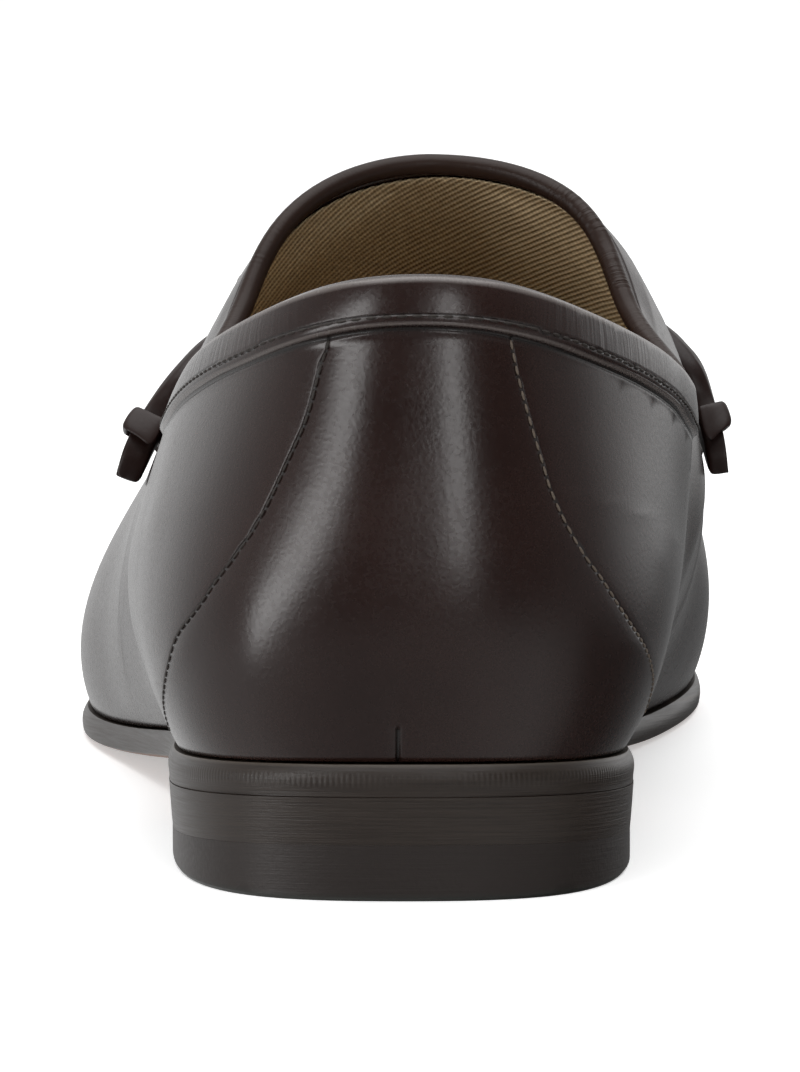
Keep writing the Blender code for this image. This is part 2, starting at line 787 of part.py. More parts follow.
def strap_half_width(far):
    """Full width over the instep, then a narrow tab with a rounded tip."""
    half = STRAP_WIDTH / 2 + (TAB_WIDTH - STRAP_WIDTH) / 2 * ease(far, TAB_FROM, TAB_FULL)
    tip = math.sqrt(max(0.0, 1 - max(0.0, (far - TIP_FROM) / (1 - TIP_FROM)) ** 2))
    return half * max(tip, 0.35)


STAND_AT = steady(pick(STAND, STAND_COLUMNS, "reach"), pick(STAND, STAND_COLUMNS, "stand"))


def strap_height(across, reach):
    """Thin and flat under the bit; further out two cords stand up near the edges."""
    far = abs(reach)
    cord = math.exp(-(((abs(across) - 0.66) / 0.2) ** 2)) * ease(far, CORD_FROM, CORD_FULL)
    cord *= 1 - ease(far, TAB_FROM + 0.02, TAB_FULL + 0.02)
    body = STRAP_THIN + (STRAP_THICK - STRAP_THIN) * ease(far, CORD_FROM, CORD_FULL + 0.04)
    return body + STRAP_CORD * cord + STAND_AT(reach)


def make_strap(leathers):
    lift = GAP + 0.0003
    rows = []
    for reach in np.concatenate([-rounds(17, 0.0, 1.0)[::-1], rounds(17, 0.0, 1.0)[1:]]):
        half = strap_half_width(abs(reach))
        top = []
        for across in (-0.95, -0.84, -0.66, -0.48, -0.2, 0.2, 0.48, 0.66, 0.84, 0.95):
            point, way = strap_spot(reach, across * half)
            top.append(point + way * (lift + strap_height(across, reach)))
        low = []
        for across in (0.97, 0.5, 0.0, -0.5, -0.97):
            point, way = strap_spot(reach, across * half)
            low.append(point + way * lift)
        side_high, way_high = strap_spot(reach, half)
        side_low, way_low = strap_spot(reach, -half)
        waist = lift + (STRAP_THICK + STAND_AT(reach)) * 0.5
        row = top + [side_high + way_high * waist]
        row += low + [side_low + way_low * waist]
        rows.append(row)
    ribbon("strap", rows, leathers["strap"])


def make_keepers(leathers):
    """A narrow loop over each end of the strap."""
    half = strap_half_width(KEEPER_AT - KEEPER_REACH) + 0.0006
    for side, name in ((-1, "keeper_lateral"), (1, "keeper_medial")):
        rows = []
        for across in np.linspace(-half - 0.0022, half + 0.0022, 15):
            bulge = 1 - ease(abs(across), half, half + 0.0020)
            row = []
            for share, height in ((-1, 0.5), (-0.7, 1), (0.7, 1), (1, 0.5), (0.9, 0), (-0.9, 0)):
                spot = side * (KEEPER_AT + share * KEEPER_REACH)
                base = 0.0005 + (STRAP_THICK + STAND_AT(spot) + 0.0005) * bulge
                point, way = strap_spot(spot, across)
                row.append(point + way * (base + 0.0013 * height))
            rows.append(row)
        ribbon(name, rows, leathers["strap"])


def ring_frame(side):
    """The middle of a ring, the way out of its plane, and the way along the strap."""
    point, way = strap_spot(side * RING_AT, 0.0)
    ahead, _ = strap_spot(side * (RING_AT + 0.02), 0.0)
    along = ahead - point
    along -= way * np.dot(along, way)
    along /= np.linalg.norm(along)
    tilt = math.radians(RING_TILT)
    along, way = along * math.cos(tilt) - way * math.sin(tilt), way * math.cos(tilt) + along * math.sin(tilt)
    return point + way * RING_LIFT, way, along


def torus_points(middle, first, second, radius, wire, count, around):
    """Rows of a round ring in the plane of the two directions."""
    up = np.cross(first, second)
    rows = []
    for k in range(count):
        turn = 2 * math.pi * k / count
        out = math.cos(turn) * first + math.sin(turn) * second
        row = []
        for a in range(around):
            roll = 2 * math.pi * a / around
            row.append(middle + out * (radius + wire * math.cos(roll)) + up * wire * math.sin(roll))
        rows.append(row)
    return rows


def torus(name, frame, radius, wire, count, around, material):
    middle, first, second = frame
    rows = torus_points(middle, first, second, radius, wire, count, around)
    points = [p for row in rows for p in row]
    faces = []
    for k in range(count):
        n = (k + 1) % count
        for a in range(around):
            b = (a + 1) % around
            faces.append((k * around + a, k * around + b, n * around + b, n * around + a))
    return solid(name, points, faces, material, 80)


def joined(pieces, name):
    """One solid from overlapping ones, joined with Boolean unions."""
    body = pieces[0]
    for other in pieces[1:]:
        tool = body.modifiers.new("join", "BOOLEAN")
        tool.operation = "UNION"
        tool.solver = "EXACT"
        tool.object = other
        bpy.context.view_layer.objects.active = body
        bpy.ops.object.modifier_apply(modifier=tool.name)
        bpy.data.objects.remove(other)
    body.name = name
    return body


def make_bit(leathers):
    """Two rings and a jointed bar over the strap, with a leather loop that holds each ring."""
    joint, joint_up = strap_spot(0.0, 0.0)
    joint = joint + joint_up * JOINT_LIFT
    for side, word in ((-1, "lateral"), (1, "medial")):
        middle, way, along = ring_frame(side)
        cross = np.cross(way, along)
        torus("bit_ring_" + word, (middle, along, cross), RING_RADIUS, RING_WIRE, 28, 8, leathers["bit"])
        held = middle - along * RING_RADIUS
        centre = joint + np.array([side * EYE_RADIUS * 0.5, 0.0, 0.0])
        reach = held - centre
        span = np.linalg.norm(reach)
        reach /= span
        flat = np.cross(reach, cross)
        eye_far = torus("eye_far", (held, reach, flat), HOLD_RADIUS, EYE_WIRE * 1.05, 14, 6, leathers["bit"])
        second = cross if side > 0 else joint_up
        inner = np.array([1.0, 0.0, 0.0])
        eye_near = torus("eye_near", (centre, inner, second), EYE_RADIUS, EYE_WIRE, 14, 6, leathers["bit"])
        start = centre + reach * EYE_RADIUS
        end = held - reach * HOLD_RADIUS
        shares = np.linspace(0, 1, 7)
        bow = flat if np.dot(flat, joint_up) > 0 else -flat
        path = [start + (end - start) * q + bow * 0.0010 * math.sin(math.pi * q) for q in shares]
        radii = [BAR_RADIUS * (0.62 + 0.38 * math.sin(math.pi * min(q * 0.75 + 0.1, 1.0))) for q in shares]
        bar = tube("bar", path, radii, 10, leathers["bit"])
        joined([bar, eye_far, eye_near], "bit_bar_" + word)
        loop_rows = []
        for offset in np.linspace(-0.0062, 0.0078, 14):
            reach_at = side * (RING_AT + (RING_RADIUS + offset) / STRAP_RUN)
            hump = math.exp(-((offset / 0.0036) ** 2))
            base = STRAP_THIN + 0.0010 + LOOP_RISE * hump
            top = []
            low = []
            for sideways in (-1, -0.5, 0.5, 1):
                point, up = strap_spot(reach_at, sideways * LOOP_WIDTH / 2)
                top.append(point + up * (base + LOOP_THICK * (0.75 if abs(sideways) == 1 else 1.0)))
                low.append(point + up * base)
            loop_rows.append(top + low[::-1])
        ribbon("bit_loop_" + word, loop_rows, leathers["strap"])


def main():
    for old in list(bpy.data.objects):
        bpy.data.objects.remove(old)
    leathers = {
        "upper": leather("dark_brown_calf", (0.036, 0.022, 0.018), 0.38),
        "binding": leather("binding_calf", (0.034, 0.019, 0.013), 0.45),
        "strap": leather("strap_calf", (0.034, 0.021, 0.017), 0.4),
        "sole": leather("sole_leather", (0.05, 0.028, 0.02), 0.5),
        "heel": leather("stacked_leather", (0.034, 0.023, 0.018), 0.45),
        "lift": leather("top_lift_rubber", (0.03, 0.022, 0.018), 0.6),
        "insole": leather("insole_leather", (0.3, 0.18, 0.09), 0.6),
        "bit": leather("bit_brass", (0.75, 0.55, 0.25), 0.25, 1.0),
    }
    make_sole(leathers)
    loop, normals = make_upper(leathers)
    make_tongue_binding(loop, normals, leathers)
    make_strap(leathers)
    make_keepers(leathers)
    make_bit(leathers)


main()
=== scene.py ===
"""The looks of the left bit loafer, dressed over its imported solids.

Heel to toe runs along +Y, the inner side of the foot is +X, up is +Z, in metres.
"""

import math

import bpy
import bmesh
import numpy as np
from mathutils import Matrix, Vector
from mathutils.bvhtree import BVHTree


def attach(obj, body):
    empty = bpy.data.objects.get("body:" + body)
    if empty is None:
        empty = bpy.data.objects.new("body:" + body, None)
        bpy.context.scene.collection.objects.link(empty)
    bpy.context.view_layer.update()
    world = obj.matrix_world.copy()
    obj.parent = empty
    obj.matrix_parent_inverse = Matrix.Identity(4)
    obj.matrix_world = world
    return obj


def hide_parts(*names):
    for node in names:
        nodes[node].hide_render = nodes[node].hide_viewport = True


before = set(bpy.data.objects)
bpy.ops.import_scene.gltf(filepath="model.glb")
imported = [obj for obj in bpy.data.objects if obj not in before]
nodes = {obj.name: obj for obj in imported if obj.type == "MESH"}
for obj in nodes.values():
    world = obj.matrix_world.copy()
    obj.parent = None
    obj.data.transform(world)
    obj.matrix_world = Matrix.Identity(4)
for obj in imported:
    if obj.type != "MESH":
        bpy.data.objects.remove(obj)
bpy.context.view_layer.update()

MM = 0.001

# Lines on the upper and the strap, in millimetres. Scratch programs printed these rows: the counter's
# are points read off the photo and cast on the upper, the others come from the curves of the part's source.
COLLAR_STITCH = (
    (-30.69, 64.34, 64.85), (-33.18, 56.98, 61.02), (-34.93, 47.95, 59.02), (-34.90, 36.05, 60.51),
    (-33.34, 23.43, 64.10), (-30.70, 10.18, 67.91), (-26.50, -3.86, 71.75), (-20.25, -17.47, 75.78),
    (-12.21, -26.12, 79.13), (-5.08, -28.99, 80.55), (2.49, -29.66, 80.96), (10.01, -28.94, 80.54),
    (17.17, -26.03, 79.10), (25.58, -17.37, 75.72), (32.58, -3.78, 71.63), (37.55, 10.23, 67.73),
    (40.67, 23.46, 63.88), (42.55, 36.05, 60.23), (42.87, 47.98, 58.63), (41.71, 57.13, 60.63),
    (39.72, 64.55, 64.63),
)
COUNTER_LATERAL = (
    (-10.75, -28.00, 77.00), (-11.55, -27.93, 73.84), (-13.66, -28.72, 66.31), (-16.09, -28.78, 60.85),
    (-18.52, -28.73, 55.69), (-21.87, -28.01, 50.15), (-25.59, -25.23, 44.69), (-29.03, -21.89, 39.74),
    (-32.27, -15.71, 34.44), (-33.29, -12.79, 30.70), (-34.02, -9.08, 27.48), (-34.24, -2.15, 23.20),
    (-34.30, 4.00, 19.00),
)
COUNTER_MEDIAL = (
    (15.25, -28.15, 77.00), (16.10, -28.26, 72.04), (17.61, -28.61, 66.30), (19.12, -28.83, 61.16),
    (20.64, -28.96, 56.32), (22.78, -28.41, 52.01), (25.23, -27.24, 47.94), (27.74, -24.53, 44.00),
    (29.94, -22.11, 40.68), (31.89, -18.23, 37.18), (33.91, -12.61, 33.46), (35.03, -6.82, 29.99),
    (35.56, -0.06, 26.37), (35.70, 7.50, 21.00),
)
APRON_SEAM = (
    (-36.92, 110.65, 51.42), (-36.82, 115.06, 50.97), (-37.03, 122.92, 49.97), (-37.16, 135.17, 48.49),
    (-36.21, 149.50, 45.99), (-34.69, 162.10, 43.14), (-32.49, 176.18, 40.17), (-29.86, 189.88, 37.91),
    (-26.56, 203.04, 36.34), (-22.83, 215.47, 35.21), (-19.06, 225.47, 34.52), (-15.40, 233.20, 33.92),
    (-12.07, 238.96, 33.48), (-8.76, 243.70, 33.14), (-5.57, 247.23, 32.84), (-2.42, 249.74, 32.55),
    (0.56, 251.28, 32.25), (3.25, 252.08, 31.99), (6.87, 252.49, 31.76), (10.32, 252.11, 32.01),
    (12.86, 251.31, 32.28), (15.65, 249.72, 32.58), (18.49, 247.08, 32.88), (21.24, 243.38, 33.18),
    (23.97, 238.44, 33.54), (26.60, 232.46, 34.00), (29.32, 224.48, 34.62), (32.03, 214.19, 35.36),
    (34.74, 201.37, 36.63), (36.99, 187.76, 38.39), (38.84, 173.79, 40.87), (40.84, 159.64, 43.78),
    (42.33, 147.22, 46.18), (43.41, 133.30, 47.98), (44.08, 121.57, 48.89), (44.63, 114.10, 49.43),
    (45.19, 109.92, 49.59),
)
STRAP_BACK_STITCH = (
    (-36.6, 103.6, 57.8), (-32.9, 106.6, 63.0), (-28.8, 110.1, 67.4), (-24.3, 113.6, 71.3),
    (-19.4, 116.8, 74.5), (-14.1, 119.9, 77.0), (-8.2, 122.7, 78.6), (-2.0, 125.0, 79.3),
    (4.6, 126.3, 79.2), (10.6, 125.2, 79.4), (16.7, 123.1, 79.2), (22.6, 120.6, 78.1),
    (28.2, 117.7, 76.1), (33.4, 114.4, 73.3), (38.0, 110.9, 69.5), (42.2, 107.1, 65.0),
    (45.4, 103.9, 59.6),
)
STRAP_FRONT_STITCH = (
    (-36.7, 107.8, 56.8), (-33.0, 112.3, 61.3), (-29.0, 115.8, 65.5), (-24.6, 119.2, 69.2),
    (-19.6, 122.4, 72.2), (-14.2, 125.4, 74.4), (-8.3, 128.0, 75.8), (-2.0, 130.2, 76.3),
    (4.4, 131.4, 76.2), (10.4, 130.4, 76.4), (16.3, 128.4, 76.3), (22.1, 125.9, 75.4),
    (27.7, 123.1, 73.7), (32.8, 119.9, 71.0), (37.4, 116.5, 67.6), (41.4, 112.8, 63.3),
    (45.0, 108.1, 58.6),
)
COLLAR_EDGE = (
    (-27.80, 65.51, 70.67), (-31.06, 56.94, 65.87), (-32.93, 47.95, 63.93), (-32.93, 33.05, 66.36),
    (-30.70, 16.96, 71.13), (-26.46, -0.03, 75.89),
    (-19.19, -17.01, 80.95), (-11.64, -25.31, 84.34), (-4.87, -28.17, 85.78), (2.53, -28.93, 86.21),
    (9.89, -28.17, 85.78), (16.74, -25.31, 84.34), (24.85, -17.01, 80.95), (33.53, -0.03, 75.89),
    (39.19, 16.96, 71.13), (42.42, 33.05, 66.36), (42.82, 47.95, 63.93), (40.95, 56.94, 65.87),
    (37.33, 65.51, 70.67),
)
TONGUE_EDGE = (
    (-31.06, 56.94, 65.87), (-27.80, 65.51, 70.67), (-25.59, 70.86, 76.27), (-22.32, 76.26, 83.48),
    (-17.45, 80.65, 88.85), (-9.42, 85.21, 93.22), (-2.14, 87.90, 95.13), (6.06, 89.07, 95.84),
    (14.39, 87.90, 95.13), (21.77, 85.21, 93.22), (29.11, 80.65, 88.85), (32.82, 76.26, 83.48),
    (35.20, 70.86, 76.27), (37.33, 65.51, 70.67), (40.95, 56.94, 65.87),
)
COLLAR_STRIP = 0.0066

# Thread: each stitch's length, width and height, and the steps between stitches
FINE_STITCH = (0.00145, 0.00042, 0.00034)
COLLAR_THREAD = (0.0016, 0.00045, 0.0004)
COLLAR_PITCH = 0.0021
COUNTER_PITCH = 0.0018
STRAP_PITCH = 0.0022

CALF_DARK = (0.0125, 0.0050, 0.0038)
CALF_LIGHT = (0.0200, 0.0086, 0.0067)

# Soft creases in millimetres: from, to, the way out, half width and depth (minus for a ridge)
CREASES = (
    ((-36.0, 22.0, 50.0), (-38.0, 60.0, 44.0), (-1.0, 0.0, 0.2), 9.0, 0.30),
    ((43.0, 20.0, 50.0), (43.0, 60.0, 42.0), (1.0, 0.0, 0.2), 9.0, 0.30),
    ((-0.9, -34.6, 28.5), (-0.9, -34.4, 25.0), (0.0, -1.0, 0.1), 1.3, 0.18),
    ((-30.5, -20.0, 33.0), (-34.5, 2.0, 25.0), (-1.0, -0.4, 0.0), 2.2, -0.18),
    ((32.0, -19.0, 34.0), (36.0, 4.0, 27.0), (1.0, -0.4, 0.0), 2.2, -0.18),
)

# The seat's top edge falls from the heel's back towards the toe
SEAT_TOP_AT_ORIGIN = 0.01658
SEAT_FALL = 0.077
JOINT_GAP = 0.00028
EDGE_BEVEL = 0.0001
ROLL_SEAT = Vector((0.0, 0.00025, -0.00035))

# Edges that bend more than this many degrees stay crisp
UPPER_SHARP = 36
SOLE_SHARP = 38
LOOP_SHARP = 50

# The cloth lies this far inside the wall, and is this thick
CLOTH_INSET = 0.0006
CLOTH_THICK = 0.0003

# The raised seam round the apron
SEAM_STEP = 0.0004
SEAM_HALF_WIDTH = 0.0025
SEAM_RISE = 0.0026
SEAM_SPREAD = 0.0062
SEAM_END = 14
RIB_PITCH = 0.0026
RIB_SLANT = 0.32

# Room brightness by direction in degrees, minus to the left of the camera: low down, and higher up
ROOM_LOW = (
    (-180, 0.85), (-158, 0.74), (-138, 0.60), (-105, 0.62), (-76, 0.66), (-50, 0.42), (-15, 0.28), (0, 0.26),
    (25, 0.42), (55, 0.52), (75, 0.35), (95, 0.08), (125, 0.04), (150, 0.08), (168, 0.18), (180, 0.50),
)
ROOM_HIGH = (
    (-180, 1.00), (-155, 0.76), (-128, 0.56), (-105, 0.50), (-85, 0.40), (-62, 0.22), (-38, 0.02),
    (0, 0.01), (38, 0.03), (60, 0.09), (85, 0.22), (109, 0.29), (135, 0.58), (153, 1.15), (168, 0.65),
    (180, 0.80),
)
ROOM_TOP = 0.8
ROOM_SCALE = 2.0
FLOOR_GLOW = 0.42

# Soft lights: their two ends in degrees, how far away, how wide and how strong
LIGHTS = (
    ("left_strip", (-70, -2), (-27, 21), 1.75, 0.36, 9.0),
    ("right_strip", (12, 6), (15, 26), 1.75, 0.26, 2.8),
    ("overhead", (0, 60), (180, 60), 2.1, 2.0, 26.0),
)

CAMERA_PLACE = Vector((0.0, -1.074, 0.158))
CAMERA_AIM = Vector((-0.0005, 0.0, 0.0475))
CAMERA_LENS = 255


def only(piece):
    """This piece alone is selected and active."""
    if bpy.context.mode != "OBJECT":
        bpy.ops.object.mode_set(mode="OBJECT")
    bpy.ops.object.select_all(action="DESELECT")
    piece.select_set(True)
    bpy.context.view_layer.objects.active = piece


def edit(piece, mode="VERT"):
    only(piece)
    bpy.ops.object.mode_set(mode="EDIT")
    bpy.ops.mesh.select_mode(type=mode)
    bpy.ops.mesh.select_all(action="DESELECT")


def done():
    bpy.ops.object.mode_set(mode="OBJECT")


def merged_copy(node, name):
    """A copy of a solid with its loose triangles merged and paired into quads."""
    made = bpy.data.objects.new(name, nodes[node].data.copy())
    bpy.context.scene.collection.objects.link(made)
    made.data.materials.clear()
    only(made)
    bpy.ops.mesh.customdata_custom_splitnormals_clear()
    edit(made)
    bpy.ops.mesh.select_all(action="SELECT")
    bpy.ops.mesh.remove_doubles(threshold=2e-6)
    bpy.ops.mesh.tris_convert_to_quads(face_threshold=math.radians(60), shape_threshold=math.radians(75))
    done()
    return made


def runs_on(edge, vertex):
    """Whether another selected edge goes on from this end in much the same direction."""
    ahead = vertex.co - edge.other_vert(vertex).co
    others = [other for other in vertex.link_edges if other.select and other is not edge]
    return any((other.other_vert(vertex).co - vertex.co).angle(ahead, 4) < 0.9 for other in others)


def crease_sharp(piece, angle, amount, lone=True):
    """Keeps the edges that bend more than this angle crisp when the piece is smoothed."""
    edit(piece, "EDGE")
    bpy.ops.mesh.edges_select_sharp(sharpness=math.radians(angle))
    if not lone:
        work = bmesh.from_edit_mesh(piece.data)
        alone = [edge for edge in work.edges if edge.select and not any(runs_on(edge, v) for v in edge.verts)]
        for edge in alone:
            edge.select = False
        bmesh.update_edit_mesh(piece.data)
    bpy.ops.transform.edge_crease(value=amount)
    done()


def smoothed(piece, levels):
    only(piece)
    rounding = piece.modifiers.new("rounding", "SUBSURF")
    rounding.levels = levels
    rounding.render_levels = levels
    bpy.ops.object.modifier_apply(modifier=rounding.name)
    bpy.ops.object.shade_smooth()
    return piece


def crisp(piece, angle, width):
    """Rounds only the edges that bend more than this angle, with a narrow bevel."""
    only(piece)
    bevel = piece.modifiers.new("edge_bevel", "BEVEL")
    bevel.limit_method = "ANGLE"
    bevel.angle_limit = math.radians(angle)
    bevel.width = width
    bevel.segments = 2
    bevel.harden_normals = True
    bpy.ops.object.modifier_apply(modifier=bevel.name)
    bpy.ops.object.shade_smooth()
    return piece


def dress(piece, material, slot, *stands_for):
    """The piece gets its material, rides on the shoe and stands for these solids; the slot is not used."""
    piece.data.materials.clear()
    piece.data.materials.append(material)
    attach(piece, "root")
    if stands_for:
        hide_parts(*stands_for)
    return piece


def surface_of(piece):
    points = [v.co.copy() for v in piece.data.vertices]
    return BVHTree.FromPolygons(points, [tuple(p.vertices) for p in piece.data.polygons])


def smooth_line(rows, step):
    """An evenly stepped line through the rows, in metres."""
    rows = np.array(rows, float) * MM
    chords = np.linalg.norm(np.diff(rows, axis=0), axis=1)
    knots = np.concatenate([[0], np.cumsum(chords)])
    ahead = np.gradient(rows, knots, axis=0)
    fine = []
    for k in range(len(rows) - 1):
        h = knots[k + 1] - knots[k]
        for u in np.linspace(0, 1, 12, endpoint=False):
            point = rows[k] * (1 + 2 * u) * (1 - u) ** 2 + ahead[k] * h * u * (1 - u) ** 2
            point += rows[k + 1] * u * u * (3 - 2 * u) + ahead[k + 1] * h * u * u * (u - 1)
            fine.append(point)
    fine.append(rows[-1])
    fine = np.array(fine)
    length = np.concatenate([[0], np.cumsum(np.linalg.norm(np.diff(fine, axis=0), axis=1))])
    count = max(2, int(round(length[-1] / step)))
    marks = np.linspace(0, length[-1], count + 1)
    return np.stack([np.interp(marks, length, fine[:, k]) for k in range(3)], axis=1)


def laid_on(line, surface, spread=0.0):
    """The line's points on the surface, with the way out and the way along at each.

    With a spread the way out is the mean of the surface's on both sides, that far from the line.
    """
    heading = np.gradient(line, axis=0)
    heading /= np.linalg.norm(heading, axis=1)[:, None]
    points = []
    ways = []
    for point, ahead in zip(line, heading):
        found, way, _, _ = surface.find_nearest(Vector(point))
        way = np.array(way)
        if spread:
            across = np.cross(ahead, way)
            sides = [surface.find_nearest(Vector(point + across * s))[1] for s in (-spread, spread)]
            way = np.array(sides[0]) + np.array(sides[1])
        points.append(np.array(found))
        ways.append(way / np.linalg.norm(way))
    ways = np.array(ways)
    for _ in range(3):
        ways[1:-1] = ways[:-2] + 2 * ways[1:-1] + ways[2:]
        ways /= np.linalg.norm(ways, axis=1)[:, None]
    return np.array(points), ways, heading


def nearest_on(line, points):
    """For each point: the number of the line's nearest point, and how far it is."""
    near = np.full(len(points), 1.0)
    which = np.zeros(len(points), int)
    for k in range(len(line)):
        away = np.linalg.norm(points - line[k], axis=1)
        closer = away < near
        near[closer] = away[closer]
        which[closer] = k
    return which, near


def store(piece, name, values):
    field = piece.data.attributes.new(name, "FLOAT", "POINT")
    field.data.foreach_set("value", np.asarray(values, np.float32))


def seam_field(piece, name, rows, step=0.0006):
    """Stores each vertex's distance across a seam line, minus on one side of it and plus on the other."""
    line = smooth_line(rows, step)
    points = np.array([v.co for v in piece.data.vertices])
    ways = np.array([v.normal for v in piece.data.vertices])
    which, near = nearest_on(line, points)
    heading = np.gradient(line, axis=0)
    heading /= np.linalg.norm(heading, axis=1)[:, None]
    offset = points - line[which]
    across = np.cross(heading[which], ways)
    side = np.sign(np.einsum("ij,ij->i", offset, across))
    along = np.einsum("ij,ij->i", offset, heading[which])
    beyond = np.abs(along) > 2 * step
    flat = np.sqrt(np.maximum(near**2 - along**2, 0))
    values = np.where(beyond, near, flat) * np.where(side == 0, 1, side)
    store(piece, name, np.clip(values, -0.02, 0.02))


def along_edge(piece, rows, step=0.0005):
    """How far each vertex lies from an edge line, and how far along it."""
    line = smooth_line(rows, step)
    points = np.array([v.co for v in piece.data.vertices])
    which, _ = nearest_on(line, points)
    heading = np.gradient(line, axis=0)
    heading /= np.linalg.norm(heading, axis=1)[:, None]
    offset = points - line[which]
    along = np.einsum("ij,ij->i", offset, heading[which])
    away = np.linalg.norm(offset - along[:, None] * heading[which], axis=1)
    return np.minimum(away, 0.05), which * step + along


def crease(piece):
    """Presses the soft creases into both faces of the wall."""
    points = np.array([v.co for v in piece.data.vertices])
    for start, end, out, half_width, depth in CREASES:
        start = np.array(start) * MM
        span = np.array(end) * MM - start
        share = np.clip((points - start) @ span / (span @ span), 0, 1)
        away = np.linalg.norm(points - start - share[:, None] * span, axis=1)
        out = np.array(out) / np.linalg.norm(out)
        points -= np.exp(-((away / (half_width * MM)) ** 2))[:, None] * out * depth * MM
    piece.data.vertices.foreach_set("co", points.astype(np.float32).ravel())
    piece.data.update()


# Pieces of the shoe


def make_upper(leather):
    """The upper, with its seams and collar edge stored for its leather."""
    piece = merged_copy("upper", "upper_leather")
    crease_sharp(piece, UPPER_SHARP, 0.95, lone=False)
    smoothed(piece, 2)
    crease(piece)
    seam_field(piece, "counter_lateral", COUNTER_LATERAL)
    seam_field(piece, "counter_medial", COUNTER_MEDIAL)
    seam_field(piece, "collar_line", COLLAR_STITCH)
    drop, run = along_edge(piece, COLLAR_EDGE)
    store(piece, "collar_drop", drop)
    store(piece, "collar_run", run)
    return dress(piece, leather, "upper_calf", "upper")


def make_lining(cloth):
    """The inner face of the upper, moved a hair inwards and given its own thickness."""
    piece = merged_copy("upper", "lining")
    surface = surface_of(piece)
    edit(piece, "FACE")
    work = bmesh.from_edit_mesh(piece.data)
    work.normal_update()
    start = surface.ray_cast(Vector((0.0, 0.02, 0.045)), Vector((0, -1, 0)))[2]
    work.faces.ensure_lookup_table()
    reached = {work.faces[start]}
    edge_of_reach = [work.faces[start]]
    while edge_of_reach:
        face = edge_of_reach.pop()
        for edge in face.edges:
            for other in edge.link_faces:
                if other not in reached and other.normal.angle(face.normal, 0) < math.radians(27):
                    reached.add(other)
                    edge_of_reach.append(other)
    for face in work.faces:
        face.select = face not in reached
    bmesh.update_edit_mesh(piece.data)
    bpy.ops.mesh.delete(type="FACE")
    bpy.ops.mesh.select_all(action="SELECT")
    bpy.ops.transform.shrink_fatten(value=CLOTH_INSET)
    done()
    smoothed(piece, 2)
    crease(piece)
    only(piece)
    wall = piece.modifiers.new("cloth", "SOLIDIFY")
    wall.thickness = CLOTH_THICK
    wall.offset = -1
    bpy.ops.object.modifier_apply(modifier=wall.name)
    return dress(piece, cloth, "insole_leather")


def make_sole(edge_leather, lift_rubber, insole_leather):
    """The sole's pieces, each with how far round and how far down its edge every vertex lies."""
    names = (
        ("outsole", "outsole_leather", edge_leather, "sole_leather"),
        ("heel_stack", "heel_lifts", edge_leather, "stacked_leather"),
        ("top_lift", "heel_top_lift", lift_rubber, "lift_rubber"),
        ("insole", "insole_sock", insole_leather, "insole_leather"),
    )
    outline = None
    for node, name, material, slot in names:
        piece = merged_copy(node, name)
        if node in ("heel_stack", "top_lift"):
            for vertex in piece.data.vertices:
                if vertex.normal.z > 0.3:
                    vertex.co.z += JOINT_GAP
        if node != "insole":
            crease_sharp(piece, SOLE_SHARP, 1.0)
            smoothed(piece, 2)
        crisp(piece, SOLE_SHARP, EDGE_BEVEL)
        points = np.array([v.co for v in piece.data.vertices])
        if outline is None:
            ways = np.array([v.normal for v in piece.data.vertices])
            outline = outline_of(points[np.abs(ways[:, 2]) < 0.6])
        which, _ = nearest_on(outline, points * (1, 1, 0))
        length = np.concatenate([[0], np.cumsum(np.linalg.norm(np.diff(outline, axis=0), axis=1))])
        back = length[int(np.argmin(np.linalg.norm(outline - (0, points[:, 1].min(), 0), axis=1)))]
        store(piece, "edge_run", fine_run(outline, length, which, points) - back)
        store(piece, "edge_drop", SEAT_TOP_AT_ORIGIN - SEAT_FALL * points[:, 1] - points[:, 2])
        dress(piece, material, slot, node)


def outline_of(points):
    """The sole's outline seen from above, starting and ending at the toe."""
    middle = np.array([0.0, 0.11])
    flat = points[:, :2] - middle
    turn = np.arctan2(flat[:, 0], flat[:, 1])
    reach = np.linalg.norm(flat, axis=1)
    loop = []
    bins = np.linspace(-math.pi, math.pi, 361)
    for low, high in zip(bins[:-1], bins[1:]):
        inside = (turn >= low) & (turn < high)
        if inside.any():
            far = np.argmax(np.where(inside, reach, -1))
            loop.append((points[far, 0], points[far, 1], 0.0))
    loop = np.array(loop)
    half = len(loop) // 2
    loop = np.roll(loop, -half, axis=0)
    return np.vstack([loop, loop[:1]])


def fine_run(outline, length, which, points):
    """How far along the outline each point lies."""
    ahead = np.gradient(outline, axis=0)
    ahead /= np.linalg.norm(ahead, axis=1)[:, None]
    offset = points * (1, 1, 0) - outline[which]
    return length[which] + np.einsum("ij,ij->i", offset, ahead[which])


